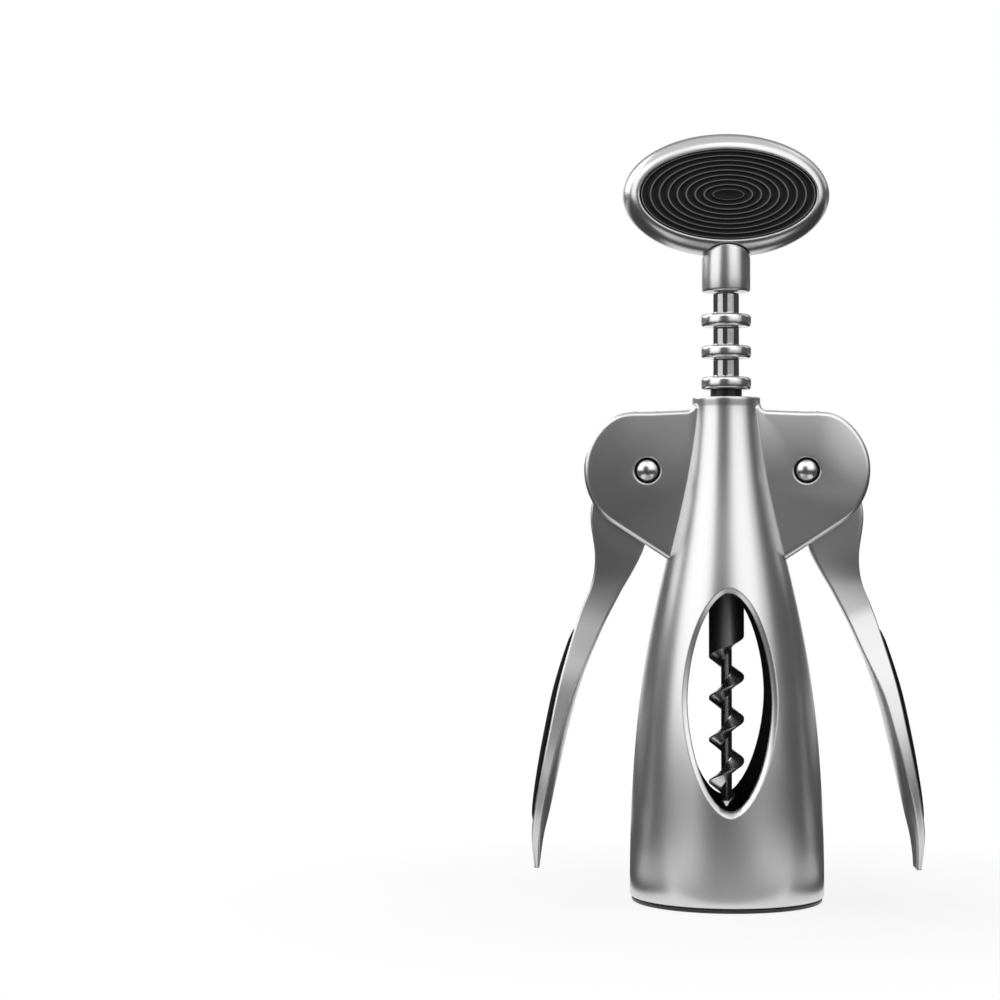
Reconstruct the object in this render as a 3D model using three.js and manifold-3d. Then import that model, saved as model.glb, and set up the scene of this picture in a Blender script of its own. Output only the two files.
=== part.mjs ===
// A wing corkscrew that stands on its base. +Z is up, the origin is the centre of the base's underside,
// and the two levers swing in the XZ plane. Lengths are in millimetres and angles in radians.
import * as THREE from "three";
import { mergeVertices } from "three/addons/utils/BufferGeometryUtils.js";
import Module from "manifold-3d";

const wasm = await Module();
wasm.setup();

const degrees = Math.PI / 180;
const fullTurn = 2 * Math.PI;

// Clearances and overruns
const runningClearance = 0.5; // rings in the neck's bore
const pivotClearance = 0.25; // lever on its pin
const seatClearance = 0.1; // fixed round pieces in their holes
const seatGap = 0.3; // fixed pieces laid against each other
const meshClearance = 0.2; // lever teeth against the rack's rings
const overrun = 1; // how far a cutting shape runs past what it cuts
const mergeDistance = 1e-4; // corners closer than this are one

// Bell
const footHeight = 1; // how far the plastic foot stands below the metal rim
const bellHeight = 118.8;
const bellRadius = 23.1;
const bellWall = 2.2;
const rimRound = 0.9;
const neckWall = 1.55;
const lipProud = 0.2;
const lipHeight = 1.3;
const lipGroove = 1;
const bellyRiseShare = 0.575; // of the height: the lower handle of the bell's curve
const waistHeightShare = 0.641; // of the height: the upper handle of the bell's curve
const waistRadiusShare = 0.23; // of the way from the neck's radius to the bell's
const boreDepth = 34; // straight bore from the neck's top down to the cavity
const shoulderHeight = 7; // cone from the bore to the cavity
const windowHalfWidth = 9.8;
const windowHalfHeight = 25.1;
const windowCentreHeight = 47.3; // above the rim
const windowBevel = 1.3; // how much wider the window is outside than inside the wall
const windowPointShare = 0.2; // 0 for an ellipse, more for a window with more pointed ends

// Rack, a sleeve of round rings
const sleeveRadius = 3.1;
const ringDepth = 2.9;
const ringThickness = 3;
const ringPitch = 7.5;
const ringCorner = 0.9;
const ringsAbove = 5; // above the tooth gap that faces the pivots at rest
const ringsBelow = 2;
const sleeveTopLength = 5.1; // from the top ring to the stem
const sleeveEndLength = 3.6; // from the bottom ring to the shank

// Levers
const gearTeeth = 11; // that a full circle of the lever's gear would have
const teethAbove = 4; // cut teeth above and below the one above the gap in mesh at rest
const teethBelow = 1;
const pitchInset = 0.23; // how far the pitch line lies inside the rings' rims
const meshDepth = 1.5; // how far a tooth's tip reaches past the rings' rims
const toothTipRound = 0.45;
const pivotDrop = 17.4; // pivot below the neck's top
const meshOffset = 2.05; // the gap in mesh at rest lies this far above the pivot
const leverThickness = 4.6;
const slotClearance = 0.2;
const armLength = 94.6; // pivot to tip, straight down
const armSpread = 27.9; // how far the arm bows out from the pivot
const armNeckWidth = 7.4; // below the ears
const gripWidth = 16; // front to back
const gripBulge = 1.8; // how far the grip's inner face swells past its edges
const gripBellyShare = 0.45; // flat middle of the swollen face, of the grip's width
const padProud = 1.25;
const padEdgeProud = 0.45;
const padSink = 0.6;
const padMargin = 1.7; // metal left beside the pad
const padEndWidthShare = 0.75; // of the pad's width there

// Ears
const earWall = 1.9;
const earEdge = 0.4; // chamfer round the ears
const earMargin = 0.65; // ear past the teeth
const earTopInset = 0.45; // ear's top edge over the pivot, below the teeth's radius
const earTopRise = 0.35; // how much higher that edge meets the neck
const earTopStart = 1.5; // where that edge starts, from the pivot towards the neck
const earCornerReach = 5; // handles of the curve from there to the round end
const earCornerAngle = 48 * degrees; // on the round end, above the horizontal
const earSlope = 33.3 * degrees; // lower edge below the horizontal

// Pivot pins
const pinRadius = 2;
const pinHeadRadius = 2.7;
const pinHeadHeight = 1.3;
const recessDepth = 0.6;
const recessClearance = 0.3;

// Worm and spindle
const spindleRadius = 2;
const wormRadius = 4.2;
const wormCoreRadius = 1.3;
const wormPitch = 10;
const wormLength = 39.2; // cut part
const shankLength = 26.2;
const shankChamfer = 0.5;
const finRootThickness = 4.2;
const finEdgeThickness = 0.35;
const tipTaper = 5;
const tipRadius = 0.3;
const grooveRunIn = 80 * degrees; // the groove starts this far round behind the shank's right side
const spindleSocket = 14; // depth in the worm's shank

// Handle
const stemRadius = 5.8;
const stemLength = 8.5; // from its lower face to the oval's lower edge
const stemCheek = 4.6; // how far its top laps over the oval's rim
const stemChamfer = 0.5;
const ovalHalfWidth = 24.7;
const ovalHalfHeight = 14.8;
const ovalHalfDepth = 6.2;
const rimWidth = 3.15;
const recessInset = 0.35; // flat between the rim's crest and the pad
const padDepth = 1.6;
const ridgeCount = 8;
const ridgeHeight = 0.45;
const ridgeMidHalfWidth = 3.6; // innermost oval of the pad
const ridgeMidHalfHeight = 1.2;
const handleTurn = 3 * degrees;
const spindleTang = 7; // how far the spindle reaches into the oval

// Bottle guide
const guideWall = 1.7;
const guideHeight = 19;
const guideInset = 0.45; // foot's edge inside the metal rim's
const mouthWall = 4.6; // the guide's at its mouth
const lipSeatHeight = 15;
const lipSeatTaper = 0.8; // how much narrower the mouth is at the lip's seat
const lipSeatWidth = 2.8; // from there in to the hole for the cork

// How finely curves are cut into facets
const bellSegments = 40;
const bellRows = 8;
const ringSegments = 20;
const pinSegments = 16;
const wormSteps = 14;
const ovalSegments = 32;
const ovalRimSteps = 5;
const armRows = 16;
const padRows = 8;
const flankRows = 5;
const cornerRows = 4;
const flankScan = 200; // places of the rack that each flank is checked against
const cornerSteps = 2;

// Places worked out from the sizes
const rimZ = footHeight;
const neckTopZ = rimZ + bellHeight;
const ringRadius = sleeveRadius + ringDepth;
const boreRadius = ringRadius + runningClearance;
const neckRadius = boreRadius + neckWall;
const pivotZ = neckTopZ - pivotDrop;
const gearPitchRadius = (gearTeeth * ringPitch) / fullTurn;
const pivotX = gearPitchRadius + ringRadius - pitchInset;
const rackEdge = pivotX - ringRadius; // from a pivot to the rings' rims
const gearTipRadius = rackEdge + meshDepth;
const gearRootRadius = rackEdge - meshClearance;
const slotHalfWidth = leverThickness / 2 + slotClearance;
const earHalfDepth = slotHalfWidth + earWall;
const earRadius = gearTipRadius + earMargin;
const earTop = gearTipRadius - earTopInset;
const meshZ = pivotZ + meshOffset;
const topRingZ = meshZ + (ringsAbove - 0.5) * ringPitch;
const bottomRingZ = meshZ - (ringsBelow - 0.5) * ringPitch;
const sleeveTopZ = topRingZ + ringThickness / 2 + sleeveTopLength;
const sleeveEndZ = bottomRingZ - ringThickness / 2 - sleeveEndLength;
const stemZ = sleeveTopZ + seatGap;
const ovalZ = stemZ + stemLength + ovalHalfHeight;
const shankTopZ = sleeveEndZ - seatGap;
const grooveZ = shankTopZ - shankLength;
const wormTipZ = grooveZ - wormLength;
const windowZ = rimZ + windowCentreHeight;
const mouthRadius = bellRadius - bellWall - seatClearance - mouthWall;
const lipSeatRadius = mouthRadius - lipSeatTaper;
const corkRadius = lipSeatRadius - lipSeatWidth;

// A closed geometry as a solid for cutting and joining.
function solid(geometry) {
  const plain = geometry.index ? geometry.toNonIndexed() : geometry.clone();
  plain.deleteAttribute("normal");
  plain.deleteAttribute("uv");
  const merged = mergeVertices(plain, mergeDistance);
  const vertProperties = new Float32Array(merged.attributes.position.array);
  const triVerts = new Uint32Array(merged.index.array);
  return new wasm.Manifold(new wasm.Mesh({ numProp: 3, vertProperties, triVerts }));
}

// A solid back as a geometry.
function geometryOf(cut) {
  const mesh = cut.getMesh();
  const geometry = new THREE.BufferGeometry();
  const places = new Float32Array(mesh.numVert * 3);
  for (let i = 0; i < mesh.numVert; i++) {
    places.set(mesh.vertProperties.subarray(i * mesh.numProp, i * mesh.numProp + 3), i * 3);
  }
  geometry.setAttribute("position", new THREE.BufferAttribute(places, 3));
  geometry.setIndex(new THREE.BufferAttribute(mesh.triVerts, 1));
  const faceted = geometry.toNonIndexed();
  faceted.computeVertexNormals();
  return faceted;
}

// A profile of [radius, height] pairs turned about +Z. It starts and ends on the axis or closes on itself.
function turned(profile, segments) {
  const points = profile.map(([radius, height]) => new THREE.Vector2(radius, height));
  return new THREE.LatheGeometry(points, segments).rotateX(Math.PI / 2);
}

// A solid of revolution whose faces point outwards, whichever way its profile runs.
function turnedSolid(profile, segments) {
  const made = solid(turned(profile, segments));
  return made.volume() > 0 ? made : solid(turned([...profile].reverse(), segments));
}

// A round bar along +Y, centred on y 0.
function barAlongY(radius, length, segments, x, z) {
  return solid(new THREE.CylinderGeometry(radius, radius, length, segments).translate(x, 0, z));
}

// An outline in the XZ plane made a plate, centred on y 0, with chamfered edges if any is given.
function plate(shape, thickness, curveSegments, chamfer) {
  const options = {
    depth: thickness - 2 * chamfer,
    bevelEnabled: chamfer > 0,
    bevelThickness: chamfer,
    bevelSize: chamfer,
    bevelOffset: -chamfer,
    bevelSegments: 1,
    curveSegments,
  };
  const geometry = new THREE.ExtrudeGeometry(shape, options);
  return geometry.rotateX(Math.PI / 2).translate(0, thickness / 2 - chamfer, 0);
}

// Rings of points joined in order, closed by a fan at each end.
function loft(rings) {
  const count = rings[0].length;
  const places = [];
  const faces = [];
  const last = rings.length - 1;
  for (const ring of rings) {
    for (const point of ring) places.push(point.x, point.y, point.z);
  }
  for (let i = 0; i < last; i++) {
    for (let j = 0; j < count; j++) {
      const a = i * count + j;
      const b = i * count + ((j + 1) % count);
      faces.push(a, b, a + count, b, b + count, a + count);
    }
  }
  for (const [row, flip] of [[0, true], [last, false]]) {
    const middle = new THREE.Vector3();
    for (const point of rings[row]) middle.addScaledVector(point, 1 / count);
    const hub = places.length / 3;
    places.push(middle.x, middle.y, middle.z);
    for (let j = 0; j < count; j++) {
      const a = row * count + j;
      const b = row * count + ((j + 1) % count);
      faces.push(...(flip ? [hub, b, a] : [hub, a, b]));
    }
  }
  const geometry = new THREE.BufferGeometry();
  geometry.setAttribute("position", new THREE.Float32BufferAttribute(places, 3));
  geometry.setIndex(faces);
  return geometry;
}

// A loft as a solid whose faces point outwards, whichever way its rings run.
function loftSolid(rings) {
  const made = solid(loft(rings));
  return made.volume() > 0 ? made : solid(loft(rings.map((ring) => [...ring].reverse())));
}

// Points of a quarter circle from one angle to another, ends included.
function arc(centreX, centreY, radius, from, to, steps) {
  const points = [];
  for (let i = 0; i <= steps; i++) {
    const angle = from + ((to - from) * i) / steps;
    points.push([centreX + radius * Math.cos(angle), centreY + radius * Math.sin(angle)]);
  }
  return points;
}

// Outer radius of the bell, as [radius, height] pairs from the rim up to the neck.
function bellCurve() {
  const span = bellRadius - neckRadius;
  const curve = new THREE.CubicBezierCurve(
    new THREE.Vector2(bellRadius, rimZ + rimRound),
    new THREE.Vector2(bellRadius, rimZ + bellyRiseShare * bellHeight),
    new THREE.Vector2(neckRadius + waistRadiusShare * span, rimZ + waistHeightShare * bellHeight),
    new THREE.Vector2(neckRadius, neckTopZ - lipHeight - lipGroove),
  );
  return curve.getPoints(bellRows).map((point) => [point.x, point.y]);
}

// The bell's outer radius at a height.
function outsideRadiusAt(height) {
  const curve = bellCurve();
  const i = Math.max(1, curve.findIndex(([, z]) => z > height));
  const [[lowRadius, lowZ], [highRadius, highZ]] = [curve[i - 1], curve[i]];
  return lowRadius + ((highRadius - lowRadius) * (height - lowZ)) / (highZ - lowZ);
}

// Outline of both ears in one piece, or a larger one. The bell's hollow takes its middle out.
function earOutline(grow) {
  const level = pivotZ + earTop + grow;
  const bottomAngle = -(Math.PI / 2 - earSlope);
  const right = arc(pivotX, pivotZ, earRadius + grow, bottomAngle, earCornerAngle, ringSegments);
  const [tangentX, tangentZ] = right[0];
  const [cornerX, cornerZ] = right[ringSegments];
  const corner = new THREE.CubicBezierCurve(
    new THREE.Vector2(cornerX, cornerZ),
    new THREE.Vector2(
      cornerX - earCornerReach * Math.sin(earCornerAngle),
      cornerZ + earCornerReach * Math.cos(earCornerAngle),
    ),
    new THREE.Vector2(pivotX - earTopStart + earCornerReach, level),
    new THREE.Vector2(pivotX - earTopStart, level),
  );
  for (const point of corner.getPoints(cornerRows).slice(1)) right.push([point.x, point.y]);
  right.push([neckRadius, level + earTopRise]);
  const left = right.map(([x, z]) => [-x, z]).reverse();
  const keel = [0, tangentZ - tangentX * Math.tan(earSlope)];
  return new THREE.Shape([keel, ...right, ...left].map(([x, z]) => new THREE.Vector2(x, z)));
}

// One window cutter, from the axis to past the bell's front (side -1) or back (side 1). It widens
// across the wall, whose depth follows the bell, so that the bevel is even all round.
function windowCutter(side) {
  const reach = bellRadius + overrun;
  const rows = [
    [0, () => 0],
    [0, (surface) => surface - bellWall],
    [windowBevel, (surface) => surface],
    [windowBevel, () => reach],
  ].map(([grow, depthAt]) =>
    windowOutline(grow).map(([x, z]) => {
      const surface = Math.sqrt(outsideRadiusAt(z) ** 2 - x ** 2);
      return new THREE.Vector3(x, side * depthAt(surface), z);
    }),
  );
  return loftSolid(rows);
}

// The window's outline as [x, z] pairs: an ellipse with its ends drawn in towards points.
function windowOutline(grow) {
  const points = [];
  const power = 2 / (2 - windowPointShare);
  const drawnIn = (share) => Math.sign(share) * Math.abs(share) ** power;
  for (let i = 0; i < ovalSegments; i++) {
    const angle = (fullTurn * i) / ovalSegments;
    points.push([
      (windowHalfWidth + grow) * drawnIn(Math.cos(angle)),
      windowZ + (windowHalfHeight + grow) * drawnIn(Math.sin(angle)),
    ]);
  }
  return points;
}

// A closed oval of points in the XZ plane at one depth.
function ovalRing(halfWidth, halfHeight, depth, centreZ, segments) {
  const ring = [];
  for (let i = 0; i < segments; i++) {
    const angle = (fullTurn * i) / segments;
    ring.push(
      new THREE.Vector3(halfWidth * Math.cos(angle), depth, centreZ + halfHeight * Math.sin(angle)),
    );
  }
  return ring;
}

// The bell's outer form without ears or openings, or the same form drawn in by an inset.
function bellForm(inset) {
  const low = rimZ + rimRound;
  const lipZ = neckTopZ - lipHeight;
  const profile = [
    [0, rimZ],
    ...arc(bellRadius - rimRound, low, rimRound, -Math.PI / 2, 0, cornerSteps),
    ...bellCurve().slice(1),
    [neckRadius, lipZ],
    [neckRadius + lipProud, lipZ + lipProud],
    [neckRadius + lipProud, neckTopZ - lipProud],
    [neckRadius, neckTopZ],
    [0, neckTopZ],
  ];
  return turnedSolid(
    profile.map(([radius, height]) => [Math.max(0, radius - inset), height]),
    bellSegments,
  );
}

// The hollow of the bell: cavity, cone and straight bore, open at both ends.
function bellHollow() {
  const boreEndZ = neckTopZ - boreDepth;
  const coneZ = boreEndZ - shoulderHeight;
  const wall = bellCurve().filter(([, height]) => height < coneZ);
  const profile = [
    [0, rimZ - overrun],
    [bellRadius - bellWall, rimZ - overrun],
    ...wall.map(([radius, height]) => [radius - bellWall, height]),
    [outsideRadiusAt(coneZ) - bellWall, coneZ],
    [boreRadius, boreEndZ],
    [boreRadius, neckTopZ + overrun],
    [0, neckTopZ + overrun],
  ];
  return turnedSolid(profile, bellSegments);
}

// A disc outline in the XZ plane.
function discOutline(radius, x, z) {
  const shape = new THREE.Shape();
  shape.absarc(x, z, radius, 0, fullTurn, false);
  return shape;
}

// The room for the levers: a slot between each pair of ears and a round pocket into the bore.
function leverRoom() {
  const width = 2 * slotHalfWidth;
  const pocketRadius = gearTipRadius + seatGap + slotClearance;
  let room = solid(plate(earOutline(overrun), width, ringSegments, 0)).subtract(bellForm(seatGap));
  for (const side of [-1, 1]) {
    const pocket = discOutline(pocketRadius, side * pivotX, pivotZ);
    room = room.add(solid(plate(pocket, width, ringSegments, 0)));
  }
  return room;
}

// The holes for one pin: through both ears, with a round recess for each head.
function pinHoles(x) {
  const through = 2 * (earHalfDepth + overrun);
  const hole = barAlongY(pinRadius + seatClearance, through, pinSegments, x, pivotZ);
  const recess = barAlongY(pinHeadRadius + recessClearance, through, pinSegments, x, pivotZ);
  const seat = 2 * (earHalfDepth - recessDepth);
  const kept = barAlongY(pinHeadRadius + overrun, seat, pinSegments, x, pivotZ);
  return hole.add(recess.subtract(kept));
}

// The die-cast bell with its neck, four ears, two windows, slots for the levers and holes for the pins.
function bellBody() {
  const ears = solid(plate(earOutline(0), 2 * earHalfDepth, ringSegments, earEdge));
  let bell = bellForm(0).add(ears).subtract(bellHollow()).subtract(leverRoom());
  for (const side of [-1, 1]) {
    bell = bell.subtract(windowCutter(side)).subtract(pinHoles(side * pivotX));
  }
  return geometryOf(bell);
}

// The black plastic guide in the bell's mouth: foot, sleeve and the seat for the bottle's lip.
function bottleGuide() {
  const footRadius = bellRadius - guideInset;
  const low = outsideRadiusAt(rimZ) - bellWall - seatClearance;
  const high = outsideRadiusAt(guideHeight) - bellWall - seatClearance;
  return turned(
    [
      [mouthRadius, 0],
      [footRadius - guideInset, 0],
      [footRadius, guideInset],
      [footRadius, rimZ - seatClearance],
      [low, rimZ - seatClearance],
      [high, guideHeight - guideWall],
      [high - guideWall, guideHeight],
      [corkRadius + guideWall, guideHeight],
      [corkRadius, guideHeight - guideWall],
      [corkRadius, lipSeatHeight],
      [lipSeatRadius, lipSeatHeight],
      [mouthRadius, 0],
    ],
    bellSegments,
  );
}

// The rack: a sleeve with round rings that the levers' teeth push on.
function rackSleeve() {
  const profile = [[sleeveRadius, sleeveEndZ]];
  for (let i = 0; i < ringsAbove + ringsBelow; i++) {
    const low = bottomRingZ + i * ringPitch - ringThickness / 2;
    const high = low + ringThickness;
    const inside = ringRadius - ringCorner;
    profile.push([sleeveRadius, low]);
    profile.push(...arc(inside, low + ringCorner, ringCorner, -Math.PI / 2, 0, cornerSteps));
    profile.push(...arc(inside, high - ringCorner, ringCorner, 0, Math.PI / 2, cornerSteps));
    profile.push([sleeveRadius, high]);
  }
  const bore = spindleRadius + pivotClearance;
  profile.push([sleeveRadius, sleeveTopZ], [bore, sleeveTopZ], [bore, sleeveEndZ]);
  profile.push([sleeveRadius, sleeveEndZ]);
  return turned(profile, ringSegments);
}

// The spindle that carries the handle's turn down to the worm.
function spindle() {
  const top = ovalZ - ovalHalfHeight + spindleTang;
  const end = shankTopZ - spindleSocket + seatGap;
  return turned(
    [
      [0, end],
      [spindleRadius, end],
      [spindleRadius, top],
      [0, top],
    ],
    pinSegments,
  );
}

// The helical groove that is cut out of the worm's bar. What it leaves is the fin.
function wormGroove() {
  const turns = wormLength / wormPitch + 1 + grooveRunIn / fullTurn;
  const steps = Math.ceil(turns * wormSteps);
  const floorHalf = (wormPitch - finRootThickness) / 2;
  const mouthHalf = (wormPitch - finEdgeThickness) / 2;
  const section = [
    [wormCoreRadius, -floorHalf],
    [wormRadius, -mouthHalf],
    [wormRadius + overrun, -mouthHalf],
    [wormRadius + overrun, mouthHalf],
    [wormRadius, mouthHalf],
    [wormCoreRadius, floorHalf],
  ];
  const rings = [];
  for (let i = 0; i <= steps; i++) {
    const angle = grooveRunIn - (fullTurn * i) / wormSteps;
    const middle = grooveZ - floorHalf + (wormPitch * angle) / fullTurn;
    rings.push(
      section.map(
        ([radius, rise]) =>
          new THREE.Vector3(radius * Math.cos(angle), radius * Math.sin(angle), middle + rise),
      ),
    );
  }
  return loftSolid(rings);
}

// The worm: a bar with a shank, a helical fin round a thin core, and a point.
function worm() {
  const socket = spindleRadius + seatClearance;
  let bar = turnedSolid(
    [
      [0, wormTipZ],
      [tipRadius, wormTipZ],
      [wormRadius, wormTipZ + tipTaper],
      [wormRadius, shankTopZ - shankChamfer],
      [wormRadius - shankChamfer, shankTopZ],
      [0, shankTopZ],
    ],
    ringSegments,
  );
  bar = bar.subtract(
    turnedSolid(
      [
        [0, shankTopZ - spindleSocket],
        [socket, shankTopZ - spindleSocket],
        [socket, shankTopZ + overrun],
        [0, shankTopZ + overrun],
      ],
      pinSegments,
    ),
  );
  return geometryOf(bar.subtract(wormGroove()));
}

// One rivet along Y with a domed head at each end.
function pivotPin() {
  const seat = earHalfDepth - recessDepth;
  const rise = pinHeadHeight;
  const sphere = (pinHeadRadius ** 2 + rise ** 2) / (2 * rise);
  const spread = Math.asin(pinHeadRadius / sphere);
  const dome = arc(0, seat + rise - sphere, sphere, Math.PI / 2 - spread, Math.PI / 2, cornerSteps + 1);
  const top = dome.slice(0, -1);
  const profile = [
    [0, -(seat + rise)],
    ...[...top].reverse().map(([radius, height]) => [radius, -height]),
    [pinRadius, -seat],
    [pinRadius, seat],
    ...top,
    [0, seat + rise],
  ];
  return turned(profile, pinSegments).rotateX(Math.PI / 2);
}

// Points of one lever tooth's upper flank, from root to tip, for a tooth that points along +x.
// A ring's rounded corner rolls past the tooth, and the flank keeps clear of every place it takes.
function toothFlank() {
  const cornerX = rackEdge + ringCorner;
  const cornerZ = ringPitch / 2 - ringThickness / 2 + ringCorner;
  const away = ringCorner + meshClearance;
  const points = [];
  for (let i = 0; i <= flankRows; i++) {
    const radius = gearRootRadius + ((gearTipRadius - gearRootRadius) * i) / flankRows;
    let angle = cornerZ / gearPitchRadius;
    for (let shift = -ringPitch; shift <= ringPitch; shift += (2 * ringPitch) / flankScan) {
      const turn = shift / gearPitchRadius;
      const z = cornerZ - shift;
      const x = cornerX * Math.cos(turn) - z * Math.sin(turn);
      const y = cornerX * Math.sin(turn) + z * Math.cos(turn);
      const distance = Math.hypot(x, y);
      const cosine = (radius ** 2 + distance ** 2 - away ** 2) / (2 * radius * distance);
      if (Math.abs(cosine) < 1) angle = Math.min(angle, Math.atan2(y, x) - Math.acos(cosine));
    }
    points.push([radius, angle]);
  }
  return points;
}

// The lever's head with its teeth, for the lever on the -x side: teeth point to +x at angle 0.
function headOutline() {
  const step = fullTurn / gearTeeth;
  const phase = meshOffset / gearPitchRadius;
  const flank = toothFlank();
  const points = [];
  const tipAngle = flank[flankRows][1] - toothTipRound / gearTipRadius;
  for (let tooth = -teethBelow; tooth <= teethAbove; tooth++) {
    const middle = phase + tooth * step;
    const lower = flank.slice(0, -1).map(([radius, angle]) => [radius, middle - angle]);
    const upper = [...flank].slice(0, -1).reverse().map(([radius, angle]) => [radius, middle + angle]);
    points.push(...lower, [gearTipRadius, middle - tipAngle], [gearTipRadius, middle + tipAngle], ...upper);
  }
  const first = points[0][1];
  const last = points[points.length - 1][1];
  const rest = first + fullTurn - last;
  const plainSteps = Math.round((rest / fullTurn) * bellSegments);
  for (let i = 1; i < plainSteps; i++) points.push([gearRootRadius, last + (rest * i) / plainSteps]);
  const shape = new THREE.Shape();
  points.forEach(([radius, angle], i) => {
    const x = radius * Math.cos(angle);
    const z = radius * Math.sin(angle);
    if (i) shape.lineTo(x, z);
    else shape.moveTo(x, z);
  });
  return shape;
}

// The arm's outer edge, pivot to tip, as [share of the spread, share of the length] pairs.
const outerEdgeShares = [
  [0.4, 0.0],
  [0.485, 0.107],
  [0.448, 0.212],
  [0.475, 0.282],
  [0.57, 0.353],
  [0.664, 0.44],
  [0.762, 0.546],
  [0.836, 0.652],
  [0.905, 0.757],
  [0.958, 0.845],
  [0.985, 0.915],
  [0.965, 1.0],
];
// Width of the arm's side from that edge to the crease, at the same places, of the neck's width.
const sideWidthShares = [2.9, 2.5, 1.52, 1.0, 0.86, 0.6, 0.42, 0.35, 0.31, 0.3, 0.3, 0.16];
// How far the arm has widened from the lever's thickness to the grip's width, at the same places.
const spreadShares = [0, 0, 0, 0, 0, 0.22, 0.62, 0.9, 1, 0.93, 0.72, 0.3];
// How far the inner face has swelled, at the same places.
const bulgeShares = [0, 0, 0, 0, 0.08, 0.6, 0.97, 0.97, 0.92, 0.8, 0.25, 0];
// Where the grip's pad starts and ends along the arm.
const padStartShare = 0.417;
const padEndShare = 0.862;

// A value between the places of a table.
function between(table, at) {
  const low = Math.min(Math.floor(at), table.length - 2);
  return table[low] + (table[low + 1] - table[low]) * (at - low);
}

// Stations along a stretch of the arm: place on the outer edge, way inwards, and the section's sizes.
function armStations(from, to, rows) {
  const edge = new THREE.SplineCurve(
    outerEdgeShares.map(([x, z]) => new THREE.Vector2(-x * armSpread, -z * armLength)),
  );
  const stations = [];
  for (let i = 0; i <= rows; i++) {
    const share = from + ((to - from) * i) / rows;
    const at = share * (outerEdgeShares.length - 1);
    const tangent = edge.getTangent(share);
    stations.push({
      place: edge.getPoint(share),
      inward: new THREE.Vector2(-tangent.y, tangent.x),
      side: between(sideWidthShares, at) * armNeckWidth,
      depth: leverThickness + between(spreadShares, at) * (gripWidth - leverThickness),
      bulge: between(bulgeShares, at) * gripBulge,
    });
  }
  return stations;
}

// A station's section, given as [distance inwards, y] pairs, set in place.
function sectionAt({ place, inward }, section) {
  return section.map(
    ([inset, y]) => new THREE.Vector3(place.x + inward.x * inset, y, place.y + inward.y * inset),
  );
}

// The arm as a loft of six-sided sections.
function leverArm() {
  const rings = armStations(0, 1, armRows).map((station) => {
    const { side, depth, bulge } = station;
    const half = depth / 2;
    const belly = half * gripBellyShare;
    return sectionAt(station, [
      [0, -half],
      [0, half],
      [side, half],
      [side + bulge, belly],
      [side + bulge, -belly],
      [side, -half],
    ]);
  });
  return loftSolid(rings);
}

// The crowned pad on the grip's outer face, or with a margin the recess that holds it.
function gripPad(margin) {
  const from = padStartShare - margin / armLength;
  const to = padEndShare + margin / armLength;
  const rings = armStations(from, to, padRows).map((station, i) => {
    const full = Math.max(station.depth / 2 - padMargin, leverThickness / 2 - seatGap);
    const half = (i % padRows ? full : full * padEndWidthShare) + margin;
    const floor = padSink + margin;
    const crown = padEdgeProud + (padProud - padEdgeProud) * Math.sin((Math.PI * i) / padRows);
    return sectionAt(station, [
      [-padEdgeProud, -half],
      [-crown, -half * gripBellyShare],
      [-crown, half * gripBellyShare],
      [-padEdgeProud, half],
      [floor, half],
      [floor, -half],
    ]);
  });
  return loftSolid(rings);
}

// The lever for the -x side in its own frame: pivot at the origin, arm hanging down.
function lever() {
  const head = solid(plate(headOutline(), leverThickness, ringSegments, 0));
  const bore = barAlongY(pinRadius + pivotClearance, leverThickness + 2 * overrun, pinSegments, 0, 0);
  return geometryOf(head.add(leverArm()).subtract(bore).subtract(gripPad(seatGap)));
}

// The oval with its rounded rim and the recesses for the pads. A grown one is solid and cuts the stem.
function ovalFrame(grow) {
  const rings = [];
  const floor = ovalHalfDepth - padDepth;
  const inner = rimWidth + recessInset;
  const oval = (inset, depth) =>
    ovalRing(ovalHalfWidth - inset + grow, ovalHalfHeight - inset + grow, depth, ovalZ, ovalSegments);
  const lip = [];
  for (let i = 0; i <= ovalRimSteps; i++) {
    const angle = (Math.PI / 2) * (i / ovalRimSteps);
    lip.push([rimWidth * (1 - Math.cos(angle)), (ovalHalfDepth + grow) * Math.sin(angle)]);
  }
  const face = grow ? [] : [[inner, ovalHalfDepth - recessInset], [inner, floor]];
  const half = [...lip, ...face];
  for (const [inset, depth] of [...half].reverse()) rings.push(oval(inset, -depth));
  for (const [inset, depth] of half.slice(1)) rings.push(oval(inset, depth));
  return loftSolid(rings);
}

// The oval grip with a recess on each side and a hole for the spindle.
function handleOval() {
  const tang = spindleTang + seatGap;
  const bottom = ovalZ - ovalHalfHeight;
  const hole = turnedSolid(
    [
      [0, bottom - overrun],
      [spindleRadius + seatClearance, bottom - overrun],
      [spindleRadius + seatClearance, bottom + tang],
      [0, bottom + tang],
    ],
    pinSegments,
  );
  return geometryOf(ovalFrame(0).subtract(hole));
}

// A rubber pad with oval ridges, for the front (side -1) or the back (side 1) of the handle.
function handlePad(side) {
  const inset = rimWidth + recessInset + seatGap;
  const halfWidth = ovalHalfWidth - inset;
  const halfHeight = ovalHalfHeight - inset;
  const floor = ovalHalfDepth - padDepth + seatGap;
  const top = ovalHalfDepth - recessInset;
  const rings = [ovalRing(halfWidth, halfHeight, side * floor, ovalZ, ovalSegments)];
  const level = (share, depth) =>
    ovalRing(
      ridgeMidHalfWidth + (halfWidth - ridgeMidHalfWidth) * share,
      ridgeMidHalfHeight + (halfHeight - ridgeMidHalfHeight) * share,
      side * depth,
      ovalZ,
      ovalSegments,
    );
  for (let i = ridgeCount; i > 0; i--) {
    rings.push(level(i / ridgeCount, top));
    rings.push(level((i - 0.5) / ridgeCount, top - ridgeHeight));
  }
  rings.push(level(0, top));
  return geometryOf(loftSolid(rings));
}

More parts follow.
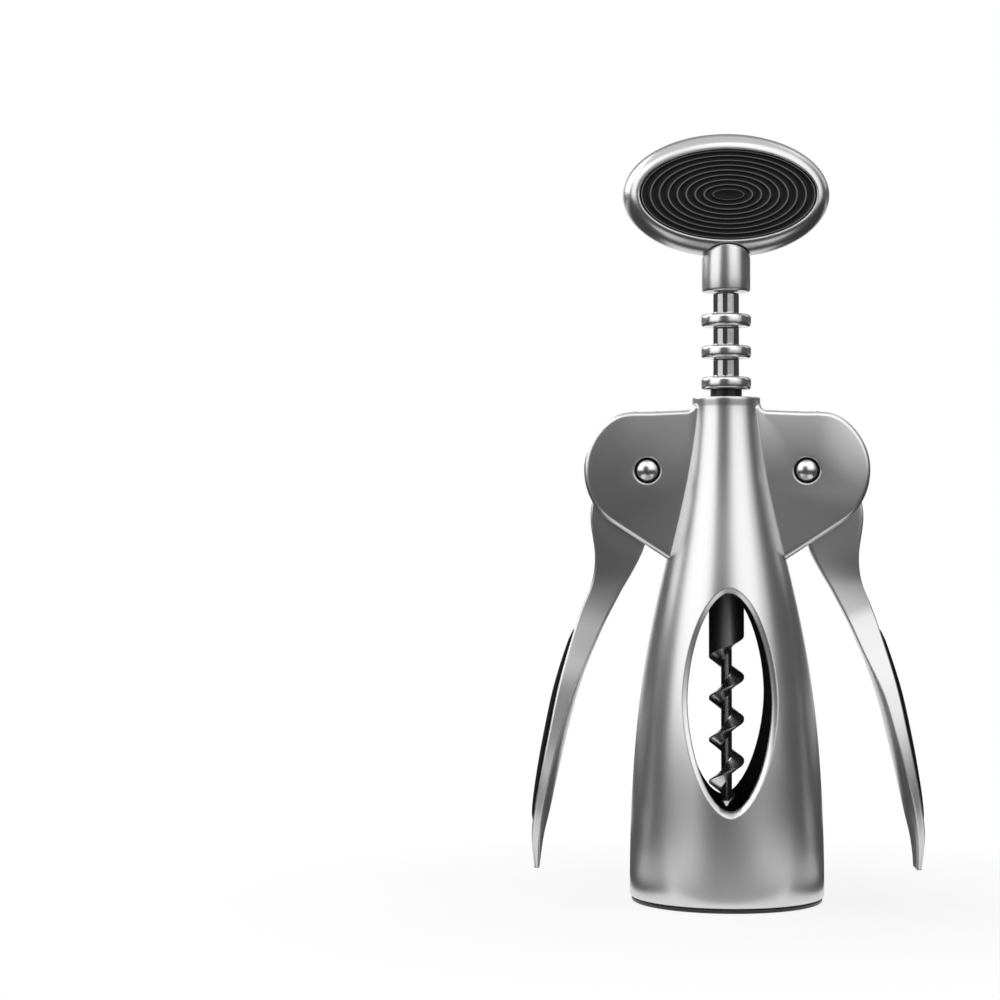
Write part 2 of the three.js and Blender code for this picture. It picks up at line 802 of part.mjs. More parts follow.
// The stem under the oval. Its top laps over the rim, front and back.
function handleStem() {
  const top = stemZ + stemLength + stemCheek;
  let stem = turnedSolid(
    [
      [0, stemZ],
      [stemRadius - stemChamfer, stemZ],
      [stemRadius, stemZ + stemChamfer],
      [stemRadius, top],
      [0, top],
    ],
    ringSegments,
  );
  stem = stem.subtract(ovalFrame(seatGap));
  const bore = turnedSolid(
    [
      [0, stemZ - overrun],
      [spindleRadius + seatClearance, stemZ - overrun],
      [spindleRadius + seatClearance, top + overrun],
      [0, top + overrun],
    ],
    pinSegments,
  );
  return geometryOf(stem.subtract(bore));
}

const satinMetal = { color: 0xb9babb, roughness: 0.32, metalness: 1 };
const dullMetal = { color: 0x8d8e90, roughness: 0.45, metalness: 1 };
const brightMetal = { color: 0xd9dadb, roughness: 0.12, metalness: 1 };
const darkMetal = { color: 0x55565a, roughness: 0.25, metalness: 1 };
const blackRubber = { color: 0x17181a, roughness: 0.75, metalness: 0 };
const blackPlastic = { color: 0x101012, roughness: 0.5, metalness: 0 };

// A named mesh of one geometry in one finish.
function piece(name, geometry, finish) {
  const mesh = new THREE.Mesh(geometry, new THREE.MeshStandardMaterial(finish));
  mesh.name = name;
  return mesh;
}

const corkscrew = new THREE.Group();
corkscrew.add(piece("bell_body", bellBody(), satinMetal));
corkscrew.add(piece("bottle_guide", bottleGuide(), blackPlastic));
corkscrew.add(piece("rack_sleeve", rackSleeve(), satinMetal));

for (const [name, side] of [["left", -1], ["right", 1]]) {
  const pin = piece("pivot_pin_" + name, pivotPin(), brightMetal);
  pin.position.set(side * pivotX, 0, pivotZ);
  corkscrew.add(pin);
  const arm = new THREE.Group();
  arm.position.set(side * pivotX, 0, pivotZ);
  arm.rotation.z = side < 0 ? 0 : Math.PI;
  arm.add(piece("lever_" + name, lever(), dullMetal));
  arm.add(piece("lever_pad_" + name, geometryOf(gripPad(0)), blackRubber));
  corkscrew.add(arm);
}

const screw = new THREE.Group();
screw.rotation.z = handleTurn;
screw.add(piece("spindle", spindle(), darkMetal));
screw.add(piece("worm", worm(), darkMetal));
screw.add(piece("handle_stem", handleStem(), satinMetal));
screw.add(piece("handle_oval", handleOval(), satinMetal));
screw.add(piece("handle_pad_front", handlePad(-1), blackRubber));
screw.add(piece("handle_pad_back", handlePad(1), blackRubber));
corkscrew.add(screw);

export default corkscrew;
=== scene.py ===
"""Looks of a wing corkscrew, modelled with Blender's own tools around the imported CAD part.

Lengths in the dataclasses are millimetres, angles are degrees, and MM turns a length to metres. Corners
closer than NEAR, in metres, count as one, and a cutter reaches OVERRUN, in millimetres, past what it cuts.
ROD_STEPS is how many facets go round a rivet, a bore or the spindle.
"""

import logging
import math
from dataclasses import dataclass, field
from enum import Enum
from typing import Callable, Optional, Sequence, Union

import bmesh
import bpy
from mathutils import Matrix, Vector
from mathutils.kdtree import KDTree


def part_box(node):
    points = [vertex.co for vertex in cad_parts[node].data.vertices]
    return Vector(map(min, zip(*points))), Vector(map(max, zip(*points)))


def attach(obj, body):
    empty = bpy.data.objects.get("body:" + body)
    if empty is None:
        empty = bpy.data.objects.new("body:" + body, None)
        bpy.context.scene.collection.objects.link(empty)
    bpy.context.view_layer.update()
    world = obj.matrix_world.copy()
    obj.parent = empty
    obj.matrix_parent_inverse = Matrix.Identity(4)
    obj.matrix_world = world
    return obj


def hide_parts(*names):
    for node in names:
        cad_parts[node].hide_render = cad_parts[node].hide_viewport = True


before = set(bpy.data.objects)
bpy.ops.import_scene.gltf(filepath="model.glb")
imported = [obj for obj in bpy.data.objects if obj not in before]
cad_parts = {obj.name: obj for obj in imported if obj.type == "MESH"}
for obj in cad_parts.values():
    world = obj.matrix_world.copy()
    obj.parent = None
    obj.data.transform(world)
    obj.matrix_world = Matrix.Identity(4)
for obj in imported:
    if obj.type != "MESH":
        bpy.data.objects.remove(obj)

MM = 0.001
FULL_TURN = 2 * math.pi
NEAR = 1e-6
OVERRUN = 1.0
ROD_STEPS = 48
EDGE_SAMPLES = 6
LOG = logging.getLogger("wing_corkscrew")

Point = tuple[float, float]
Place = tuple[float, float, float]
Number = Union[int, float]
Patch = tuple[bpy.types.Material, Callable[[bpy.types.MeshPolygon], bool]]


class Side(Enum):
    """Which way along an axis a mirrored thing lies."""

    LOW = -1
    HIGH = 1


class Axis(Enum):
    """Axes that a profile is spun about."""

    Y = (0, 1, 0)
    Z = (0, 0, 1)


def arc(centre: Point, radius: float, start: float, end: float, steps: int) -> list[Point]:
    """Points of an arc, ends included.

    Args:
        centre: The arc's centre.
        radius: Its radius.
        start: First angle in degrees.
        end: Last angle in degrees.
        steps: How many chords it has.

    Returns:
        The points in order.
    """
    angles = [math.radians(start + (end - start) * i / steps) for i in range(steps + 1)]
    return [(centre[0] + radius * math.cos(angle), centre[1] + radius * math.sin(angle)) for angle in angles]


def mirror_x(points: Sequence[Point]) -> list[Point]:
    """Points mirrored left to right, in reverse order."""
    return [(-x, y) for x, y in reversed(points)]


def mirror_y(points: Sequence[Point]) -> list[Point]:
    """Points mirrored in their second coordinate, in reverse order."""
    return [(x, -y) for x, y in reversed(points)]


def bezier(handles: Sequence[Point], steps: int) -> list[Point]:
    """Points of a cubic curve, ends included.

    Args:
        handles: Its start, two handles and end.
        steps: How many chords it has.

    Returns:
        The points in order.
    """
    points = []
    for i in range(steps + 1):
        t = i / steps
        shares = ((1 - t) ** 3, 3 * t * (1 - t) ** 2, 3 * t * t * (1 - t), t**3)
        points.append(tuple(sum(s * handle[k] for s, handle in zip(shares, handles)) for k in (0, 1)))
    return points


def smooth_between(table: Sequence[float], at: float) -> float:
    """A value between the places of a table, on a curve through them all.

    Args:
        table: Evenly placed values.
        at: Place in the table, from 0 to its last index.

    Returns:
        The value there.
    """
    last = len(table) - 1
    low = min(int(at), last - 1)
    t = at - low
    before, here = table[max(low - 1, 0)], table[low]
    there, after = table[low + 1], table[min(low + 2, last)]
    leave, arrive = (there - before) / 2, (after - here) / 2
    return (
        (2 * here - 2 * there + leave + arrive) * t**3
        + (3 * there - 3 * here - 2 * leave - arrive) * t**2
        + leave * t
        + here
    )


# Modelling


def focus(piece: bpy.types.Object) -> None:
    """Selects a piece alone and makes it the active one.

    Args:
        piece: The piece.
    """
    bpy.ops.object.select_all(action="DESELECT")
    piece.select_set(True)
    bpy.context.view_layer.objects.active = piece


class Bench:
    """One mesh on the workbench, shaped in edit mode with Blender's operators."""

    def __init__(self, name: str, finished: Optional[bpy.types.Object] = None) -> None:
        """Puts an empty mesh on the bench, or a finished one back on it.

        Args:
            name: The piece's name.
            finished: A piece to shape further, which keeps its mesh.
        """
        if finished is None:
            bpy.ops.object.select_all(action="DESELECT")
            bpy.ops.mesh.primitive_plane_add(size=MM, location=(0, 0, 0))
            self.piece = bpy.context.active_object
            self.piece.name = self.piece.data.name = name
            bpy.ops.object.mode_set(mode="EDIT")
            bpy.ops.mesh.select_mode(type="VERT")
            bpy.ops.mesh.select_all(action="SELECT")
            bpy.ops.mesh.delete(type="VERT")
        else:
            self.piece = finished
            self.piece.name = name
            focus(finished)
            bpy.ops.object.mode_set(mode="EDIT")

    def select(self, wanted: Callable[[Vector], bool]) -> None:
        """Selects the corners whose place, in metres, is wanted.

        Args:
            wanted: Says of a place whether it is.
        """
        mesh = bmesh.from_edit_mesh(self.piece.data)
        for vertex in mesh.verts:
            vertex.select_set(wanted(vertex.co))
        mesh.select_flush_mode()
        mesh.select_flush(True)
        bmesh.update_edit_mesh(self.piece.data)

    def select_loops(self, loops: Sequence[Sequence[Vector]]) -> None:
        """Selects the corners of drawn loops.

        Args:
            loops: Each loop's corners in metres.
        """
        tree = KDTree(sum(len(loop) for loop in loops))
        for i, point in enumerate(point for loop in loops for point in loop):
            tree.insert(point, i)
        tree.balance()
        self.select(lambda place: tree.find(place)[2] < NEAR)

    def draw(self, points: Sequence[Vector], closed: bool = True) -> None:
        """Draws a line of edges, one extruded corner after another.

        Args:
            points: Its corners in metres.
            closed: Whether an edge joins the last corner to the first.
        """
        bpy.ops.mesh.select_all(action="DESELECT")
        bpy.ops.mesh.primitive_plane_add(size=MM, location=points[0])
        bpy.ops.mesh.merge(type="CENTER")
        for here, there in zip(points, points[1:]):
            bpy.ops.mesh.extrude_region_move(TRANSFORM_OT_translate={"value": there - here})
        if closed:
            self.select_loops([[points[0], points[-1]]])
            bpy.ops.mesh.edge_face_add()

    def spin(
        self, profile: Sequence[Point], steps: int, axis: Axis = Axis.Z, closed: bool = False
    ) -> "Bench":
        """Draws a profile and spins it into a solid of revolution about an axis through the origin.

        Args:
            profile: [radius, place along the axis] pairs in millimetres.
            steps: Facets in a full turn.
            axis: What it is spun about.
            closed: Whether the profile closes on itself, away from the axis.

        Returns:
            The bench.
        """
        upright = axis is Axis.Z
        points = [Vector((out, 0, along) if upright else (out, along, 0)) * MM for out, along in profile]
        self.draw(points, closed)
        bpy.ops.mesh.select_all(action="SELECT")
        bpy.ops.mesh.spin(steps=steps, dupli=False, angle=FULL_TURN, center=(0, 0, 0), axis=axis.value)
        self.weld()
        return self

    def prism(self, outline: Sequence[Point], low: float, high: float) -> "Bench":
        """Draws an outline in the XZ plane, fills it and extrudes it along Y.

        Args:
            outline: [x, z] pairs in millimetres.
            low: Where it starts along Y.
            high: Where it ends.

        Returns:
            The bench.
        """
        points = [Vector((x, low, z)) * MM for x, z in outline]
        self.draw(points)
        self.fill(points)
        bpy.ops.mesh.extrude_region_move(TRANSFORM_OT_translate={"value": (0, (high - low) * MM, 0)})
        self.weld()
        return self

    def fill(self, loop: Sequence[Vector]) -> None:
        """Fills a drawn loop with a face."""
        self.select_loops([loop])
        bpy.ops.mesh.edge_face_add()

    def loft(self, loops: Sequence[Sequence[Vector]]) -> "Bench":
        """Draws closed loops, bridges each to the next and fills the two ends.

        Args:
            loops: Each loop's corners in metres.

        Returns:
            The bench.
        """
        for loop in loops:
            self.draw(loop)
        for here, there in zip(loops, loops[1:]):
            self.select_loops([here, there])
            bpy.ops.mesh.bridge_edge_loops()
        self.fill(loops[0])
        self.fill(loops[-1])
        self.weld()
        return self

    def weld(self) -> None:
        """Merges corners that lie on each other and turns all faces outwards."""
        bpy.ops.mesh.select_all(action="SELECT")
        bpy.ops.mesh.remove_doubles(threshold=NEAR)
        bpy.ops.mesh.select_all(action="SELECT")
        bpy.ops.mesh.normals_make_consistent(inside=False)

    def round_edges(self, wanted: Callable[[Vector], bool], width: float, segments: int) -> None:
        """Rounds the edges whose two corners are both wanted.

        Args:
            wanted: Says of a corner's place in metres whether it counts.
            width: How far back from the edge the rounding starts, in millimetres.
            segments: Facets across it.
        """
        self.select(wanted)
        bpy.ops.mesh.bevel(offset=width * MM, segments=segments, profile=0.5, clamp_overlap=False)

    def move(self, offset: Place) -> "Bench":
        """Moves the whole mesh.

        Args:
            offset: How far along each axis, in millimetres.

        Returns:
            The bench.
        """
        bpy.ops.mesh.select_all(action="SELECT")
        bpy.ops.transform.translate(value=Vector(offset) * MM)
        return self

    def turn(self, degrees: float) -> "Bench":
        """Turns the whole mesh about the upright axis through the origin.

        Args:
            degrees: How far, anticlockwise as seen from above.

        Returns:
            The bench.
        """
        bpy.ops.mesh.select_all(action="SELECT")
        # With no window, the operator turns the other way round.
        bpy.ops.transform.rotate(value=-math.radians(degrees), orient_axis="Z", center_override=(0, 0, 0))
        return self

    def done(self, sharp: float = 32) -> bpy.types.Object:
        """Takes the piece off the bench, smooth but for edges sharper than an angle.

        Args:
            sharp: The angle in degrees.

        Returns:
            The piece.
        """
        bpy.ops.object.mode_set(mode="OBJECT")
        finish_shading(self.piece, sharp)
        return self.piece


def finish_shading(piece: bpy.types.Object, sharp: float) -> None:
    """Shades a piece smooth, but for its edges sharper than an angle in degrees."""
    focus(piece)
    bpy.ops.object.shade_smooth_by_angle(angle=math.radians(sharp))


def apply_modifier(piece: bpy.types.Object, kind: str, **settings: object) -> None:
    """Changes a piece by a modifier.

    Args:
        piece: What is changed.
        kind: The modifier's type.
        settings: Its settings by their names.
    """
    modifier = piece.modifiers.new(kind.lower(), kind)
    for name, value in settings.items():
        setattr(modifier, name, value)
    focus(piece)
    bpy.ops.object.modifier_apply(modifier=modifier.name)


def apply_boolean(piece: bpy.types.Object, tool: bpy.types.Object, operation: str = "DIFFERENCE") -> None:
    """Cuts a piece with a tool, or joins the two, and clears the tool away.

    Args:
        piece: What is changed.
        tool: A closed mesh, deleted afterwards.
        operation: UNION, DIFFERENCE or INTERSECT.
    """
    apply_modifier(piece, "BOOLEAN", operation=operation, solver="EXACT", object=tool)
    bpy.data.objects.remove(tool)


def reach(face: bpy.types.MeshPolygon) -> float:
    """How far a face's middle lies from the upright axis, in millimetres."""
    return math.hypot(face.center.x, face.center.y) / MM


# Shading


class Signal:
    """A shader socket that plain arithmetic can be written with."""

    def __init__(self, graph: "Graph", socket: bpy.types.NodeSocket) -> None:
        """Wraps an output socket of a graph's node."""
        self.graph = graph
        self.socket = socket

    def _math(self, operation: str, first: "Operand", second: "Operand") -> "Signal":
        """Adds a Math node."""
        return self.graph.node("ShaderNodeMath", {"operation": operation}, {0: first, 1: second})

    def __add__(self, other: "Operand") -> "Signal":
        """Sum."""
        return self._math("ADD", self, other)

    __radd__ = __add__

    def __mul__(self, other: "Operand") -> "Signal":
        """Product."""
        return self._math("MULTIPLY", self, other)

    __rmul__ = __mul__

    def __sub__(self, other: "Operand") -> "Signal":
        """Difference."""
        return self._math("SUBTRACT", self, other)

    def __rsub__(self, other: "Operand") -> "Signal":
        """Difference from a number."""
        return self._math("SUBTRACT", other, self)

    def __truediv__(self, other: "Operand") -> "Signal":
        """Quotient."""
        return self._math("DIVIDE", self, other)

    def swing(self, amount: float, middle: float = 0.5) -> "Signal":
        """The signal less its middle, times an amount."""
        return (self - middle) * amount


Operand = Union[Signal, Number]


class Graph:
    """The node tree of one material."""

    def __init__(self, name: str) -> None:
        """Starts a material with a Principled shader.

        Args:
            name: The material's name.
        """
        self.material = bpy.data.materials.new(name)
        self.material.use_nodes = True
        self.tree = self.material.node_tree
        self.shader = self.tree.nodes["Principled BSDF"]
        self.place = self.node("ShaderNodeTexCoord", {}, {}, output="Object")

    def node(self, kind: str, settings: dict, values: dict, output: Union[int, str] = 0) -> Signal:
        """Adds a node.

        Args:
            kind: Its type.
            settings: Its own settings, and a ramp's stops under the key "stops".
            values: Values, or signals to link, by the name or number of the input.
            output: The output that is wanted.

        Returns:
            That output.
        """
        made = self.tree.nodes.new(kind)
        for name, value in settings.items():
            if name == "stops":
                ramp = made.color_ramp.elements
                while len(ramp) < len(value):
                    ramp.new(0.5)
                for stop, (position, shade) in zip(ramp, value):
                    stop.position = position
                    stop.color = (shade, shade, shade, 1)
            else:
                setattr(made, name, value)
        for name, value in values.items():
            if isinstance(value, Signal):
                self.tree.links.new(value.socket, made.inputs[name])
            else:
                made.inputs[name].default_value = value
        return Signal(self, made.outputs[output])

    def stretched(self, scale: Place) -> Signal:
        """Object coordinates scaled along each axis."""
        return self.node("ShaderNodeMapping", {}, {"Vector": self.place, "Scale": scale})

    def noise(self, size: float, detail: float, along: Optional[Signal] = None) -> Signal:
        """Noise with blobs of about a size in millimetres, from 0 to 1.

        Args:
            size: The blobs' size.
            detail: How many finer layers it has.
            along: Coordinates in place of the object's own.

        Returns:
            The noise.
        """
        values = {"Vector": along or self.place, "Scale": 1 / (size * MM), "Detail": detail}
        return self.node("ShaderNodeTexNoise", {}, values, output="Fac")

    def ramp(self, signal: Signal, stops: Sequence[Point]) -> Signal:
        """Maps a signal through [position, value] stops."""
        return self.node("ShaderNodeValToRGB", {"stops": stops}, {"Fac": signal})

    def blend(self, share: Operand, dark: Sequence[float], light: Sequence[float]) -> Signal:
        """A colour between two others."""
        values = {0: share, 6: (*dark, 1), 7: (*light, 1)}
        return self.node("ShaderNodeMix", {"data_type": "RGBA"}, values, output=2)

    def bump(self, height: Signal, distance: float, normal: Optional[Signal] = None) -> Signal:
        """A normal bent by a height.

        Args:
            height: From 0 to 1.
            distance: What a height of 1 stands for, in millimetres.
            normal: The normal that is bent, or the surface's own.

        Returns:
            The normal.
        """
        values = {"Height": height, "Distance": distance * MM}
        if normal is not None:
            values["Normal"] = normal
        return self.node("ShaderNodeBump", {}, values)

    def soft_edges(self, radius: float) -> Signal:
        """A normal that rounds edges and inner corners, by a radius in millimetres."""
        return self.node("ShaderNodeBevel", {"samples": EDGE_SAMPLES}, {"Radius": radius * MM})

    def dress(self, **inputs: Union[Operand, Sequence[float]]) -> bpy.types.Material:
        """Sets or links the shader's inputs, with _ for a space in a name.

        Args:
            inputs: Their values or signals.

        Returns:
            The material.
        """
        for name, value in inputs.items():
            socket = self.shader.inputs[name.replace("_", " ").title().replace("Ior", "IOR")]
            if isinstance(value, Signal):
                self.tree.links.new(value.socket, socket)
            else:
                socket.default_value = value
        return self.material


def grey(level: float, blue: float = 0.005) -> Place:
    """A grey with a little more blue."""
    return (level, level, level + blue)


@dataclass(frozen=True)
class SatinAlloy:
    """Plated zinc alloy with a fine matt grain."""

    name: str
    dark: Place
    light: Place
    roughness: float
    edge: float = 0.5
    grain: float = 0.16
    grain_depth: float = 0.0003
    streaks: Place = (1, 1, 1)
    fine: float = 3
    cloud: float = 14
    cloud_gloss: float = 0.06
    cloud_middle: float = 0.3
    fine_share: float = 0.1

    def material(self) -> bpy.types.Material:
        """Builds the material.

        Returns:
            The material.
        """
        graph = Graph(self.name)
        cloud = graph.noise(self.cloud, detail=3)
        grain = graph.noise(self.grain, 2, along=graph.stretched(self.streaks))
        fine = graph.noise(self.grain * self.fine, 3, along=graph.stretched(self.streaks))
        tone = cloud * (1 - self.fine_share) + fine * self.fine_share
        return graph.dress(
            base_color=graph.blend(tone, self.dark, self.light),
            metallic=1.0,
            roughness=self.roughness + cloud.swing(self.cloud_gloss, self.cloud_middle),
            normal=graph.bump(grain + fine, self.grain_depth, graph.soft_edges(self.edge)),
        )


@dataclass(frozen=True)
class PolishedSteel:
    """Bright or dark steel with a shallow waviness and hairline marks."""

    name: str
    dark: Place
    light: Place
    roughness: float
    edge: float = 0.2
    wave_depth: float = 0.02
    wave: float = 2.2
    line: float = 0.25
    line_depth: float = 0.0012
    line_gloss: float = 0.06
    cloud: float = 3.5
    cloud_gloss: float = 0.05

    def material(self) -> bpy.types.Material:
        """Builds the material.

        Returns:
            The material.
        """
        graph = Graph(self.name)
        cloud, lines = graph.noise(self.cloud, detail=3), graph.noise(self.line, detail=2)
        waves = graph.bump(graph.noise(self.wave, detail=1), self.wave_depth, graph.soft_edges(self.edge))
        return graph.dress(
            base_color=graph.blend(cloud, self.dark, self.light),
            metallic=1.0,
            roughness=self.roughness + cloud.swing(self.cloud_gloss) + lines.swing(self.line_gloss),
            normal=graph.bump(lines, self.line_depth, waves),
        )


@dataclass(frozen=True)
class PaintedShadeMetal:
    """Rough metal, near black as painted shade, for the inside of the bell and the rivet recesses."""

    name: str
    dark: Place = grey(0.012, 0.001)
    light: Place = grey(0.05, 0.002)
    metallic: float = 0.6
    roughness: float = 0.62
    skin: float = 0.9
    skin_depth: float = 0.12
    skin_gloss: float = 0.2
    cloud: float = 7

    def material(self) -> bpy.types.Material:
        """Builds the material.

        Returns:
            The material.
        """
        graph = Graph(self.name)
        skin, cloud = graph.noise(self.skin, detail=4), graph.noise(self.cloud, detail=2)
        return graph.dress(
            base_color=graph.blend(cloud * 0.5 + skin * 0.5, self.dark, self.light),
            metallic=self.metallic,
            roughness=self.roughness + skin.swing(self.skin_gloss),
            normal=graph.bump(skin, self.skin_depth),
        )


@dataclass(frozen=True)
class BlackRubber:
    """Moulded matt rubber with a mottled tone; a lighter copy paints highlights on ridge crests."""

    name: str
    dark: Place
    light: Place
    roughness: float
    shine: float
    edge: float = 0.05
    grain: float = 0.3
    grain_depth: float = 0.01
    grain_gloss: float = 0.16
    cloud: float = 6
    cloud_gloss: float = 0.1

    def material(self) -> bpy.types.Material:
        """Builds the material.

        Returns:
            The material.
        """
        graph = Graph(self.name)
        grain, cloud = graph.noise(self.grain, detail=3), graph.noise(self.cloud, detail=3)
        return graph.dress(
            base_color=graph.blend(cloud * 0.5 + grain * 0.5, self.dark, self.light),
            roughness=self.roughness + grain.swing(self.grain_gloss) + cloud.swing(self.cloud_gloss),
            specular_ior_level=self.shine,
            normal=graph.bump(grain, self.grain_depth, graph.soft_edges(self.edge)),
        )


@dataclass(frozen=True)
class MouldedPlastic:
    """Black injection-moulded plastic with a fine spark texture."""

    name: str
    dark: Place = grey(0.006, 0.001)
    light: Place = grey(0.013, 0.001)
    roughness: float = 0.36
    edge: float = 0.25
    grain: float = 0.22
    grain_depth: float = 0.006
    grain_gloss: float = 0.12
    cloud: float = 8

    def material(self) -> bpy.types.Material:
        """Builds the material.

        Returns:
            The material.
        """
        graph = Graph(self.name)
        grain, cloud = graph.noise(self.grain, detail=2), graph.noise(self.cloud, detail=2)
        return graph.dress(
            base_color=graph.blend(cloud, self.dark, self.light),
            roughness=self.roughness + grain.swing(self.grain_gloss),
            normal=graph.bump(grain, self.grain_depth, graph.soft_edges(self.edge)),
        )


class Finishes:
    """Every material of the corkscrew."""

    def __init__(self) -> None:
        """Builds them all."""
        self.satin = SatinAlloy("satin_alloy", grey(0.66), grey(0.74), 0.28).material()
        # Painted shade: a darker copy of the satin alloy for the oval grip.
        self.handle = SatinAlloy("handle_alloy", grey(0.59), grey(0.67), 0.28).material()
        self.lever = SatinAlloy("lever_alloy", grey(0.63), grey(0.71), 0.28, edge=0.3).material()
        brushed = {"edge": 0.25, "grain": 0.2, "grain_depth": 0.002, "streaks": (0.15, 0.15, 1)}
        self.ring = SatinAlloy("brushed_ring", grey(0.68), grey(0.8), 0.22, **brushed).material()
        self.shaft = PolishedSteel("polished_shaft", grey(0.3), grey(0.5), 0.1).material()
        pale = (grey(0.64, 0.01), grey(0.8, 0.01))
        self.rivet = PolishedSteel("polished_rivet", *pale, 0.24, edge=0.15, wave_depth=0.06).material()
        pale = (grey(0.68), grey(0.82))
        self.worm = PolishedSteel("worm_steel", *pale, 0.27, edge=0.15, wave_depth=0.04).material()
        # Painted shade: a darker copy of the worm's steel for the shank, rougher too.
        self.shank = PolishedSteel("shank_steel_painted_shade", grey(0.42), grey(0.52), 0.42, wave_depth=0.03).material()
        # Painted shade: near-black metal for the inside of the bell and the rivet recesses.
        self.cast = PaintedShadeMetal("painted_shade_metal").material()
        black = (grey(0.002, 0.0002), grey(0.008, 0.0004))
        self.rubber = BlackRubber("black_rubber", *black, 0.5, shine=0.2).material()
        # Painted highlight: a lighter rubber for the crests of the handle pads' ridges.
        highlight_greys = (grey(0.05, 0.001), grey(0.17, 0.001))
        self.crest_highlight = BlackRubber("rubber_painted_crest_highlight", *highlight_greys, 0.35, shine=0.5).material()
        self.grip = BlackRubber("grip_rubber", *black, 0.75, shine=0.12).material()
        # Black plastic for the bottle guide; on the rack's collar it is painted shade.
        self.plastic = MouldedPlastic("black_plastic_and_painted_shade").material()


def fit(
    piece: bpy.types.Object,
    material: bpy.types.Material,
    body: str,
    node: str,
    patches: Sequence[Patch] = (),
) -> None:
    """Dresses a finished piece and hands it to the frame.

    Args:
        piece: The piece, in place.
        material: Its main material.
        body: The body that it moves with.
        node: The CAD node that it stands for.
        patches: Other materials, each with what says of a face whether it gets it.
    """
    piece.data.materials.append(material)
    for number, (finish, wanted) in enumerate(patches, 1):
        piece.data.materials.append(finish)
        for face in piece.data.polygons:
            if wanted(face):
                face.material_index = number
    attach(piece, body)
    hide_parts(node)
    piece.data.calc_loop_triangles()
    LOG.info("%s: %d triangles, rides on %s", piece.name, len(piece.data.loop_triangles), body)


# The bell


